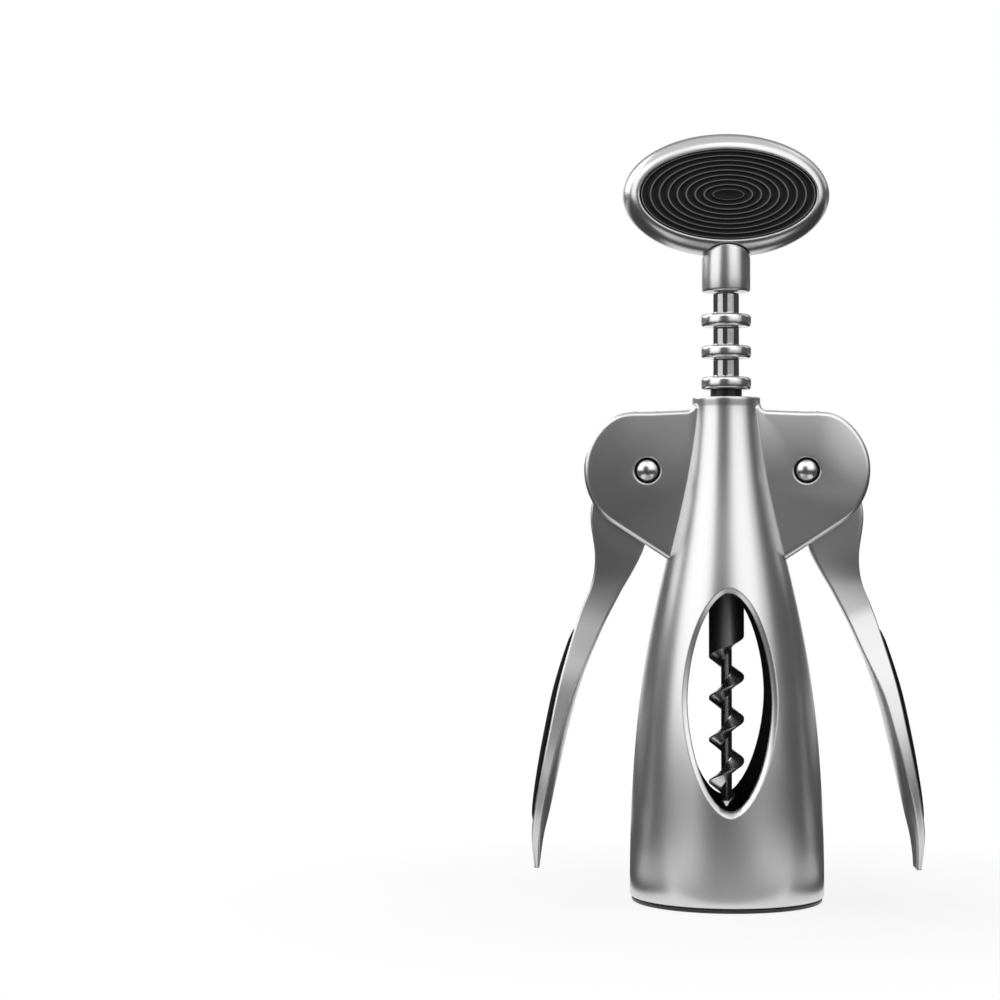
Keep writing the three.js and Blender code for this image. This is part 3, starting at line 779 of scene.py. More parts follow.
@dataclass
class Bell:
    """The bell, a die casting, with its neck, ears, windows and rivet holes."""

    foot: float = 1.0
    height: float = 118.8
    radius: float = 23.1
    wall: float = 2.2
    rim_round: float = 0.9
    neck_radius: float = 8.05
    lip_proud: float = 0.09
    lip_height: float = 1.3
    lip_groove: float = 1.0
    lip_share: float = 0.35
    groove_share: float = 0.7
    lip_round: float = 0.3
    lip_steps: int = 4
    rise: float = 0.575
    waist_height: float = 0.641
    waist_radius: float = 0.23
    bore_radius: float = 6.5
    bore_depth: float = 34
    bore_chamfer: float = 0.4
    shoulder: float = 7
    window_half_width: float = 9.8
    window_half_height: float = 25.1
    window_z: float = 48.3
    window_point: float = 0.2
    window_steps: int = 112
    window_inside: float = 2
    window_lip: tuple[Point, ...] = ((0, 1.35), (0.1, 1.05), (1.15, 0.12), (1.3, 0.03), (1.4, -0.07))
    pivot_x: float = 18.9003
    pivot_z: float = 102.4
    ear_radius: float = 15.05
    ear_top: float = 13.95
    ear_top_rise: float = 0.35
    ear_bend: float = 48
    ear_top_start: float = 1.5
    ear_top_pull: float = 5
    ear_top_fall: float = 0.15
    ear_half_depth: float = 4.4
    ear_round: float = 1.1
    ear_slope: float = 33.3
    ear_fillet: float = 1.4
    slot_half: float = 2.5
    slot_skin: float = 0.3
    pocket_radius: float = 14.9
    rivet_head: float = 2.7
    rivet_hole: float = 2.1
    recess: float = 1.3
    recess_gap: float = 0.38
    recess_flare: float = 0.33
    flare_under: float = 0.25
    flare_over: float = 0.08
    ear_steps: int = 34
    ear_top_steps: int = 12
    ear_round_steps: int = 4
    corner_steps: int = 5
    pocket_steps: int = 120
    skin_slack: float = 0.3
    slack: float = 0.1
    rivet_proud: float = 0.7
    steps: int = 176
    rows: int = 44
    curve: list[Point] = field(init=False)

    def __post_init__(self) -> None:
        """Works out the outer curve, from the rim's rounding to the groove under the lip."""
        span = self.radius - self.neck_radius
        handles = [
            (self.radius, self.foot + self.rim_round),
            (self.radius, self.foot + self.rise * self.height),
            (self.neck_radius + self.waist_radius * span, self.foot + self.waist_height * self.height),
            (self.neck_radius, self.foot + self.height - self.lip_height - self.lip_groove),
        ]
        self.curve = bezier(handles, self.rows)

    @property
    def top(self) -> float:
        """Height of the neck's top."""
        return self.foot + self.height

    def outside(self, z: float) -> float:
        """The outer radius at a height.

        Args:
            z: The height.

        Returns:
            The radius.
        """
        for (low_radius, low), (high_radius, high) in zip(self.curve, self.curve[1:]):
            if z <= high:
                return low_radius + (high_radius - low_radius) * (z - low) / (high - low)
        return self.neck_radius

    def pivot(self, side: Side) -> Place:
        """Where a lever's pivot lies."""
        return (side.value * self.pivot_x, 0, self.pivot_z)

    def skin(self, inset: float = 0) -> list[Point]:
        """The outer profile from the axis at the rim to the axis at the neck's top.

        Args:
            inset: How far inside the surface it runs.

        Returns:
            Its [radius, z] corners.
        """
        lip = self.top - self.lip_height
        proud = self.neck_radius + self.lip_proud
        rim = (self.radius - self.rim_round, self.foot + self.rim_round)
        profile = [
            *arc(rim, self.rim_round, -90, 0, self.corner_steps)[:-1],
            *self.curve,
            (self.neck_radius, lip - self.lip_groove * self.groove_share),
            (proud, lip + self.lip_height * self.lip_share),
            *arc((proud - self.lip_round, self.top - self.lip_round), self.lip_round, 0, 90, self.lip_steps),
        ]
        return [(0, self.foot), *((max(0, r - inset), z) for r, z in profile), (0, self.top)]

    def hollow(self) -> list[Point]:
        """Profile of the cavity, the cone and the bore, open past both ends.

        Returns:
            Its [radius, z] corners.
        """
        bore_end = self.top - self.bore_depth
        cone = bore_end - self.shoulder
        mouth = self.bore_radius + self.bore_chamfer
        return [
            (0, self.foot - OVERRUN),
            (self.radius - self.wall, self.foot - OVERRUN),
            *((r - self.wall, z) for r, z in self.curve if z < cone),
            (self.outside(cone) - self.wall, cone),
            (self.bore_radius, bore_end),
            (self.bore_radius, self.top - self.bore_chamfer),
            (mouth, self.top),
            (mouth, self.top + OVERRUN),
            (0, self.top + OVERRUN),
        ]

    def ear_outline(self, grow: float, fillet: bool) -> list[Point]:
        """Outline of the ears on both sides as one shape.

        Args:
            grow: How much larger than the ears it is.
            fillet: Whether it runs up the neck in a fillet.

        Returns:
            Its [x, z] corners.
        """
        centre = (self.pivot_x, self.pivot_z)
        right = arc(centre, self.ear_radius + grow, self.ear_slope - 90, self.ear_bend, self.ear_steps)
        keel = right[0][1] - right[0][0] * math.tan(math.radians(self.ear_slope))
        bend, pull = math.radians(self.ear_bend), self.ear_top_pull
        start, end = right[-1], (self.pivot_x - self.ear_top_start, self.pivot_z + self.ear_top + grow)
        leaving = (start[0] - pull * math.sin(bend), start[1] + pull * math.cos(bend))
        arriving = (end[0] + pull, end[1] - self.ear_top_fall)
        right += bezier([start, leaving, arriving, end], self.ear_top_steps)[1:]
        if fillet:
            level = self.pivot_z + self.ear_top + self.ear_top_rise + grow
            foot = (self.neck_radius + self.ear_fillet, level + self.ear_fillet)
            right += arc(foot, self.ear_fillet, -90, -180, self.corner_steps)
        return [(0, keel), *right, *mirror_x(right)]

    def ears(self) -> bpy.types.Object:
        """Both pairs of ears as one plate through the bell, with rounded edges.

        Returns:
            The plate.
        """
        half = self.ear_half_depth
        bench = Bench("ears").prism(self.ear_outline(0, True), -half, half)
        for front in (1, -1):
            bench.round_edges(
                lambda place: front * place.y > half * MM - NEAR, self.ear_round, self.ear_round_steps
            )
        return bench.done()

    def lever_room(self) -> bpy.types.Object:
        """The slots between the ears and the pockets for the levers' teeth.

        Returns:
            What is cut away.
        """
        half = self.slot_half
        room = Bench("lever_room").prism(self.ear_outline(OVERRUN, False), -half, half).done()
        apply_boolean(room, Bench("kept_wall").spin(self.skin(self.slot_skin), self.steps).done())
        for side in Side:
            centre = (side.value * self.pivot_x, self.pivot_z)
            disc = arc(centre, self.pocket_radius, 0, 360 - 360 / self.pocket_steps, self.pocket_steps - 1)
            apply_boolean(room, Bench("pocket").prism(disc, -half, half).done(), "UNION")
        return room

    def window_outline(self, grow: float) -> list[Point]:
        """An ellipse with its ends drawn in towards points, larger than the window by a length.

        Args:
            grow: How much larger than the window it is.

        Returns:
            Its [x, z] corners.
        """
        power = 2 / (2 - self.window_point)
        width, height = self.window_half_width + grow, self.window_half_height + grow
        points = []
        for i in range(self.window_steps):
            angle = FULL_TURN * i / self.window_steps
            x, z = (math.copysign(abs(k) ** power, k) for k in (math.cos(angle), math.sin(angle)))
            points.append((width * x, self.window_z + height * z))
        return points

    def window_cutter(self, side: Side) -> bpy.types.Object:
        """A cutter that follows the wall, so that the window's lip is even all round.

        Each pair of window_lip says how much larger than the window it is, and how far under the wall's
        surface.

        Args:
            side: LOW for the front window, HIGH for the back one.

        Returns:
            The cutter.
        """
        inside, outside = (self.window_lip[0][0], math.inf), (self.window_lip[-1][0], -math.inf)
        loops = []
        for grow, under in (inside, *self.window_lip, outside):
            loop = []
            for x, z in self.window_outline(grow):
                surface = math.sqrt(self.outside(z) ** 2 - x * x)
                depth = min(max(surface - under, self.window_inside), self.radius + OVERRUN)
                loop.append(Vector((x, side.value * depth, z)) * MM)
            loops.append(loop)
        return Bench("window_cutter").loft(loops).done()

    def rivet_cutter(self, side: Side) -> bpy.types.Object:
        """The hole for one rivet, with a round recess and a chamfer at each end.

        Args:
            side: Which rivet's.

        Returns:
            The cutter.
        """
        face = self.ear_half_depth
        wide = self.rivet_head + self.recess_gap
        half = [
            (self.rivet_hole, face - self.recess),
            (wide, face - self.recess),
            (wide, face - self.flare_under),
            (wide + self.recess_flare, face + self.flare_over),
            (wide + self.recess_flare, face + OVERRUN),
        ]
        profile = [(0, -face - OVERRUN), *mirror_y(half), *half, (0, face + OVERRUN)]
        return Bench("rivet_cutter").spin(profile, ROD_STEPS, Axis.Y).move(self.pivot(side)).done()

    def build(self, finishes: Finishes) -> None:
        """Models and dresses the bell.

        Args:
            finishes: Every material.
        """
        bell = Bench("bell").spin(self.skin(), self.steps).done()
        apply_boolean(bell, self.ears(), "UNION")
        apply_boolean(bell, Bench("hollow").spin(self.hollow(), self.steps).done())
        apply_boolean(bell, self.lever_room())
        for side in Side:
            apply_boolean(bell, self.window_cutter(side))
            apply_boolean(bell, self.rivet_cutter(side))
        finish_shading(bell, sharp=30)
        # Painted shade: the cavity's faces and the deep part of each rivet recess get near-black metal.
        dark = (finishes.cast, lambda face: self.is_inside(face) or self.is_in_recess(face))
        fit(bell, finishes.satin, "frame", "bell_body", [dark])

    def is_in_recess(self, face: bpy.types.MeshPolygon) -> bool:
        """True for a face deep in a rivet's recess, which gets the painted shade.

        Args:
            face: The face.

        Returns:
            Whether it is.
        """
        place = face.center / MM
        away = math.hypot(abs(place.x) - self.pivot_x, place.z - self.pivot_z)
        deep = abs(place.y) < self.ear_half_depth - self.skin_slack
        return deep and away < self.rivet_head + self.recess_gap + self.slack

    def is_inside(self, face: bpy.types.MeshPolygon) -> bool:
        """True for a face of the cavity, which gets the painted shade.

        Args:
            face: The face.

        Returns:
            Whether it is.
        """
        place = face.center / MM
        inward = face.normal.x * place.x + face.normal.y * place.y < 0
        if place.z > self.top - self.bore_depth - self.shoulder:
            under_mouth = place.z < self.top - self.bore_chamfer
            return inward and under_mouth and reach(face) < self.bore_radius + self.skin_slack
        return inward and abs(reach(face) - (self.outside(place.z) - self.wall)) < self.skin_slack


@dataclass
class BottleGuide:
    """The black plastic guide in the bell's mouth."""

    bell: Bell
    inset: float = 0.45
    gap: float = 0.1
    wall: float = 1.7
    height: float = 19
    mouth: float = 16.2
    mouth_chamfer: float = 0.4
    seat: float = 15.4
    seat_z: float = 15
    cork: float = 12.6
    steps: int = 128
    foot_steps: int = 4
    edge_steps: int = 6

    def build(self, finishes: Finishes) -> None:
        """Models and dresses the guide.

        Args:
            finishes: Every material.
        """
        foot, top = self.bell.radius - self.inset, self.height - self.wall
        low = self.bell.outside(self.bell.foot) - self.bell.wall - self.gap
        high = self.bell.outside(self.height) - self.bell.wall - self.gap
        profile = [
            (self.mouth + self.mouth_chamfer, 0),
            (foot - self.inset, 0),
            *arc((foot - self.inset, self.inset), self.inset, -90, 0, self.foot_steps)[1:],
            (foot, self.bell.foot - self.gap),
            (low, self.bell.foot - self.gap),
            (high, top),
            *arc((high - self.wall, top), self.wall, 0, 90, self.edge_steps)[1:],
            *arc((self.cork + self.wall, top), self.wall, 90, 180, self.edge_steps),
            (self.cork, self.seat_z),
            (self.seat, self.seat_z),
            (self.mouth, self.mouth_chamfer),
        ]
        guide = Bench("bottle_guide_rings").spin(profile, self.steps, closed=True).done()
        fit(guide, finishes.plastic, "frame", "bottle_guide")


@dataclass
class Rivets:
    """The two rivets that the levers turn on."""

    bell: Bell
    shank: float = 2.0
    head: float = 2.7
    rise: float = 1.3
    chamfer: float = 0.1
    seat_gap: float = 0.05
    dome_steps: int = 10

    def build(self, finishes: Finishes) -> None:
        """Models and dresses both rivets.

        Args:
            finishes: Every material.
        """
        under = self.bell.ear_half_depth - self.bell.recess + self.seat_gap
        top = self.bell.ear_half_depth + self.bell.rivet_proud
        sphere = (self.head**2 + self.rise**2) / (2 * self.rise)
        spread = math.degrees(math.asin(self.head / sphere))
        dome = arc((0, top - sphere), sphere, 90 - spread, 90, self.dome_steps)
        half = [(self.shank, under), (self.head - self.chamfer, under), (self.head, under + self.chamfer)]
        half += [*dome[:-1], (0, top)]
        for side, name in ((Side.LOW, "left"), (Side.HIGH, "right")):
            bench = Bench(f"rivet_{name}").spin([*mirror_y(half), *half], ROD_STEPS, Axis.Y)
            rivet = bench.move(self.bell.pivot(side)).done()
            fit(rivet, finishes.rivet, "frame", f"pivot_pin_{name}")


# Rack and screw


@dataclass
class Rack:
    """The sleeve with the round rings that the levers' teeth push."""

    sleeve: float = 3.1
    ring: float = 6.0
    thickness: float = 3.0
    pitch: float = 7.5
    corner: float = 0.9
    count: int = 7
    bottom_ring: float = 93.2
    low: float = 88.1
    high: float = 144.8
    chamfer: float = 0.3
    bore: float = 2.25
    root: tuple[Point, ...] = ((0, 0.6), (0, 0.35), (0.1, 0.1), (0.35, 0))
    root_edge: float = 0.2
    collar_ring: int = 4
    collar: float = 3.75
    collar_gap: float = 0.6
    collar_chamfer: float = 0.4
    slack: float = 0.1
    steps: int = 96
    corner_steps: int = 6

    def build(self, finishes: Finishes) -> None:
        """Models and dresses the rack.

        Args:
            finishes: Every material.
        """
        inside, groove = self.ring - self.corner, self.pitch - self.thickness
        collar_top = self.bottom_ring + self.collar_ring * self.pitch - self.thickness / 2
        slim = self.sleeve - self.chamfer
        profile = [(self.bore, self.low), (slim, self.low), (self.sleeve, self.low + self.chamfer)]
        for i in range(self.count):
            under = self.bottom_ring + i * self.pitch - self.thickness / 2
            over = under + self.thickness
            if i == self.collar_ring:
                low = under - groove + self.collar_gap
                profile.append((self.collar - self.collar_chamfer, low))
                profile += [(self.collar, low + self.collar_chamfer), (self.collar, under)]
            else:
                profile += [(self.sleeve + out, under - along) for out, along in self.root]
            profile += arc((inside, under + self.corner), self.corner, -90, 0, self.corner_steps)
            profile += arc((inside, over - self.corner), self.corner, 0, 90, self.corner_steps)
            profile += [(self.sleeve + out, over + along) for out, along in reversed(self.root)]
        profile += [(self.sleeve, self.high - self.chamfer), (slim, self.high), (self.bore, self.high)]
        shaft = (finishes.shaft, lambda face: reach(face) < self.sleeve + self.root_edge)
        # Painted shade: the collar above the neck, under the lowest ring seen, is black to stand in for the
        # shadow there.
        collar = (
            finishes.plastic,
            lambda face: reach(face) < self.collar + self.slack
            and collar_top - groove < face.center.z / MM < collar_top + self.slack,
        )
        rack = Bench("ringed_rack").spin(profile, self.steps, closed=True).done()
        fit(rack, finishes.ring, "rack", "rack_sleeve", [shaft, collar])


@dataclass
class Worm:
    """The worm: a shank, and a fin round a thin core that ends in a point."""

    radius: float = 4.2
    core: float = 1.3
    pitch: float = 10
    shank_top: float = 87.8
    shank_dark: float = 9
    groove_top: float = 61.6
    tip: float = 22.4
    tip_radius: float = 0.3
    taper: float = 5
    taper_ease: float = 0.15
    ease_under: float = 0.2
    ease_over: float = 0.3
    row: float = 2.5
    rows: int = 24
    steps: int = 96
    chamfer: float = 0.5
    fin_root: float = 3.3
    fin_edge: float = 0.35
    fin_ease: tuple[Point, Point] = ((0, 0.5), (0.25, 0.1))
    run_in: float = 80
    facet: float = 6
    spindle: float = 2.0
    spindle_chamfer: float = 0.3
    socket: float = 14
    socket_gap: float = 0.1
    slack: float = 0.06
    handle_turn: float = 3

    def groove(self) -> bpy.types.Object:
        """The helical groove that leaves the fin, made by the Screw modifier from its section.

        Returns:
            The groove's solid.
        """
        turn = 360 * ((self.groove_top - self.tip) / self.pitch + 1) + self.run_in
        lift = self.pitch * turn / 360
        floor, mouth = (self.pitch - self.fin_root) / 2, (self.pitch - self.fin_edge) / 2
        start = self.run_in - turn
        middle = self.groove_top - floor + self.pitch * start / 360
        half = [(self.core + out, floor - back) for out, back in self.fin_ease]
        half += [(self.radius, mouth), (self.radius + OVERRUN, mouth)]
        section = [*((out, -rise) for out, rise in half), *reversed(half)]
        cosine, sine = math.cos(math.radians(start)), math.sin(math.radians(start))
        near = [Vector((out * cosine, out * sine, middle + rise)) * MM for out, rise in section]
        cosine, sine = math.cos(math.radians(turn)), math.sin(math.radians(turn))
        far = [Vector((p.x * cosine - p.y * sine, p.x * sine + p.y * cosine, p.z + lift * MM)) for p in near]
        bench = Bench("groove")
        bench.draw(near)
        bpy.ops.object.mode_set(mode="OBJECT")
        steps = round(turn / self.facet)
        apply_modifier(
            bench.piece,
            "SCREW",
            axis="Z",
            angle=math.radians(turn),
            screw_offset=lift * MM,
            steps=steps,
            render_steps=steps,
            use_merge_vertices=False,
        )
        bpy.ops.object.mode_set(mode="EDIT")
        bench.fill(near)
        bench.fill(far)
        bench.weld()
        return bench.done()

    def build(self, finishes: Finishes) -> None:
        """Models and dresses the worm and the spindle in its shank.

        Args:
            finishes: Every material.
        """
        full = self.tip + self.taper
        profile = [
            (0, self.tip),
            (self.tip_radius, self.tip),
            (self.radius - self.taper_ease, full - self.ease_under),
            *((self.radius, full + self.ease_over + row * self.row) for row in range(self.rows)),
            (self.radius, self.shank_top - self.chamfer),
            (self.radius - self.chamfer, self.shank_top),
            (self.spindle + self.socket_gap, self.shank_top),
            (self.spindle + self.socket_gap, self.shank_top - self.socket),
            (0, self.shank_top - self.socket),
        ]
        worm = Bench("worm_screw").spin(profile, self.steps).done()
        apply_boolean(worm, self.groove())
        worm = Bench("worm_screw", worm).turn(self.handle_turn).done(sharp=28)
        # Painted shade: the shank up in the bell gets the darker, rougher steel.
        shank = (
            finishes.shank,
            lambda face: face.center.z / MM > self.groove_top - self.shank_dark
            and reach(face) > self.radius - self.slack,
        )
        fit(worm, finishes.worm, "screw", "worm", [shank])
        self.build_spindle(finishes)

    def build_spindle(self, finishes: Finishes) -> None:
        """Models and dresses the spindle that runs up through the rack into the handle.

        Args:
            finishes: Every material.
        """
        bottom, top = (corner.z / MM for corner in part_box("spindle"))
        edge = self.spindle_chamfer
        profile = [(0, bottom), (self.spindle - edge, bottom), (self.spindle, bottom + edge)]
        profile += [(self.spindle, top - edge), (self.spindle - edge, top), (0, top)]
        rod = Bench("spindle_rod").spin(profile, ROD_STEPS).done()
        fit(rod, finishes.worm, "screw", "spindle")


# Handle


@dataclass
class Handle:
    """The oval grip with its ridged pads, and the stem under it."""

    half_width: float = 24.7
    half_height: float = 14.7
    half_depth: float = 6.2
    centre_z: float = 168.2
    rim: float = 3.15
    rim_more: tuple[float, float] = (0.2, 0.5)
    rim_steps: int = 24
    lip: float = 0.12
    lip_share: float = 0.35
    pad_drop: float = 0.45
    inset: float = 0.35
    pad_depth: float = 1.6
    pad_gap: float = 0.15
    pad_edge: tuple[Point, ...] = ((1.0, 0.25), (0.99, 0))
    ridges: int = 8
    ridge_height: float = 0.45
    ridge_start: float = 0.985
    ridge_wave: tuple[Point, ...] = ((0.08, 0.06), (0.22, 0.75), (0.5, 1), (0.78, 0.75), (0.92, 0.06), (1, 0))
    crest_highlight_share: float = 0.2
    middle: tuple[float, float] = (3.6, 1.2)
    dimple_share: tuple[float, float] = (0.55, 0.4)
    dimple: float = 0.3
    stem_radius: float = 5.8
    stem_z: float = 145.1
    stem_hole: float = 2.2
    stem_shoulder: float = 7.2
    stem_row: float = 3
    dome: float = 3.7
    dome_spare: float = 0.5
    dome_skin: float = 0.01
    stem_round: float = 0.55
    arch_round: float = 1.2
    arch_reach: float = 10
    notch_gap: float = 0.3
    notch_depth: float = 4
    turn: float = 3
    steps: int = 112
    round_steps: int = 5
    arch_steps: int = 32
    notch_steps: int = 20

    def oval(self, width: float, height: float, depth: float, drop: float) -> list[Vector]:
        """A closed oval of corners, facing the front.

        Args:
            width: Its half width.
            height: Its half height.
            depth: Where it lies along Y.
            drop: How far its middle lies below the grip's.

        Returns:
            The corners in metres.
        """
        angles = [FULL_TURN * i / self.steps for i in range(self.steps)]
        middle = self.centre_z - drop
        return [Vector((width * math.cos(a), depth, middle + height * math.sin(a))) * MM for a in angles]

    def pad_size(self, inset: float) -> tuple[float, float]:
        """Half width and half height of the pad's place, less an inset."""
        wide, high = self.rim_more
        return (self.half_width - self.rim - wide - inset, self.half_height - self.rim - high - inset)

    def rim_loops(self) -> list[list[Vector]]:
        """The rounded rim from back to front.

        Returns:
            Its loops of corners in metres.
        """
        width, height = self.pad_size(0)
        loops = []
        for i in range(self.rim_steps + 1):
            angle = math.radians(90 - 180 * i / self.rim_steps)
            share = 1 - math.cos(angle)
            wide = self.half_width + (width - self.half_width) * share
            high = self.half_height + (height - self.half_height) * share
            loops.append(self.oval(wide, high, self.half_depth * math.sin(angle), self.pad_drop * share))
        return loops

    def frame_oval(self) -> bpy.types.Object:
        """The oval with a shallow recess for a pad on each side.

        Returns:
            The oval, not turned yet.
        """
        recess = [
            (self.inset - self.lip, self.half_depth - self.inset * self.lip_share),
            (self.inset, self.half_depth - self.inset),
            (self.inset, self.half_depth - self.pad_depth),
        ]
        loops = self.rim_loops()
        for inset, depth in recess:
            size = self.pad_size(inset)
            loops.insert(0, self.oval(*size, depth, self.pad_drop))
            loops.append(self.oval(*size, -depth, self.pad_drop))
        grip = Bench("oval_grip").loft(loops).done()
        for side in Side:
            apply_boolean(grip, self.notch(side))
        return grip

    def dome_outline(self, grow: float, steps: int, foot: float) -> list[Point]:
        """Outline of the stem with its domed end, or a larger one.

        Args:
            grow: How much larger than the stem it is.
            steps: How many chords half of the dome has.
            foot: How high it starts.

        Returns:
            Its [x, z] corners.
        """
        wide, shoulder, high = self.stem_radius + grow, self.stem_z + self.stem_shoulder, self.dome + grow
        angles = [math.pi / 2 * i / steps for i in range(steps + 1)]
        right = [(wide, foot), *((wide * math.cos(a), shoulder + high * math.sin(a)) for a in angles)]
        return [*right, *mirror_x(right[:-1])]

    def stem(self) -> bpy.types.Object:
        """The stem, whose top is rounded from side to side and set into the rim.

        Returns:
            The stem, not turned yet.
        """
        low = self.stem_z + self.stem_round
        top = self.stem_z + self.stem_shoulder + self.dome + self.dome_spare
        profile = [
            (0, self.stem_z),
            (self.stem_hole, self.stem_z),
            *arc((self.stem_radius - self.stem_round, low), self.stem_round, -90, 0, self.round_steps),
            (self.stem_radius, low + self.stem_row),
            (self.stem_radius, top),
            (0, top),
        ]
        stem = Bench("stem_collar").spin(profile, self.steps).done()
        arch = self.dome_outline(self.dome_skin, self.arch_steps, self.stem_z - OVERRUN)
        tool = Bench("arch").prism(arch, -self.arch_reach, self.arch_reach).done()
        apply_boolean(stem, tool, "INTERSECT")
        apply_modifier(
            stem,
            "BEVEL",
            width=self.arch_round * MM,
            segments=self.round_steps,
            limit_method="ANGLE",
            angle_limit=math.radians(30),
        )
        return stem

    def notch(self, side: Side) -> bpy.types.Object:
        """What the rim leaves free in front of or behind the stem's dome.

        Args:
            side: LOW for the front, HIGH for the back.

        Returns:
            The cutter.
        """
        near, far = self.half_depth - self.notch_depth, self.half_depth + OVERRUN
        outline = self.dome_outline(self.notch_gap, self.notch_steps, self.stem_z)
        return Bench("notch").prism(outline, *sorted((side.value * near, side.value * far))).done()

    def pad(self, side: Side) -> bpy.types.Object:
        """A rubber pad with raised oval ridges.

        Args:
            side: LOW for the front, HIGH for the back.

        Returns:
            The pad, turned with the handle.
        """
        width, height = self.pad_size(self.inset + self.pad_gap)
        mid_width, mid_height = self.middle
        top = self.half_depth - self.inset
        levels = [(1.0, self.half_depth - self.pad_depth + self.pad_gap)]
        levels += [(share, top - drop) for share, drop in self.pad_edge]
        for ridge in range(self.ridges):
            for along, drop in self.ridge_wave:
                share = self.ridge_start - (ridge + along) * self.ridge_start / self.ridges
                levels.append((share, top - drop * self.ridge_height))
        loops = []
        for share, depth in levels:
            wide = mid_width + (width - mid_width) * share
            high = mid_height + (height - mid_height) * share
            loops.append(self.oval(wide, high, side.value * depth, self.pad_drop))
        wide, high = mid_width * self.dimple_share[0], mid_height * self.dimple_share[1]
        loops.append(self.oval(wide, high, side.value * (top - self.dimple), self.pad_drop))
        bench = Bench("ridged_pad_front" if side is Side.LOW else "ridged_pad_back")
        return bench.loft(loops).turn(self.turn).done(sharp=50)

    def unturned_depth(self, face: bpy.types.MeshPolygon) -> float:
        """How far a face lies to the front or back of the turned handle's middle plane."""
        turn = math.radians(self.turn)
        return (face.center.y * math.cos(turn) - face.center.x * math.sin(turn)) / MM

    def build(self, finishes: Finishes) -> None:
        """Models and dresses the handle's pieces.

        Args:
            finishes: Every material.
        """
        stem = Bench("stem_collar", self.stem()).turn(self.turn).done(sharp=30)
        fit(stem, finishes.satin, "screw", "handle_stem")
        # The grip takes the darker copy of the alloy, as painted shade.
        grip = Bench("oval_grip", self.frame_oval()).turn(self.turn).done(sharp=30)
        fit(grip, finishes.handle, "screw", "handle_oval")
        # Painted highlight: the ridges' crests get the lighter rubber, standing in for the shine along them.
        crest = self.half_depth - self.inset - self.ridge_height * self.crest_highlight_share
        crest_highlight = (finishes.crest_highlight, lambda face: abs(self.unturned_depth(face)) > crest)
        for side, node in ((Side.LOW, "handle_pad_front"), (Side.HIGH, "handle_pad_back")):
            fit(self.pad(side), finishes.rubber, "screw", node, [crest_highlight])


# Levers


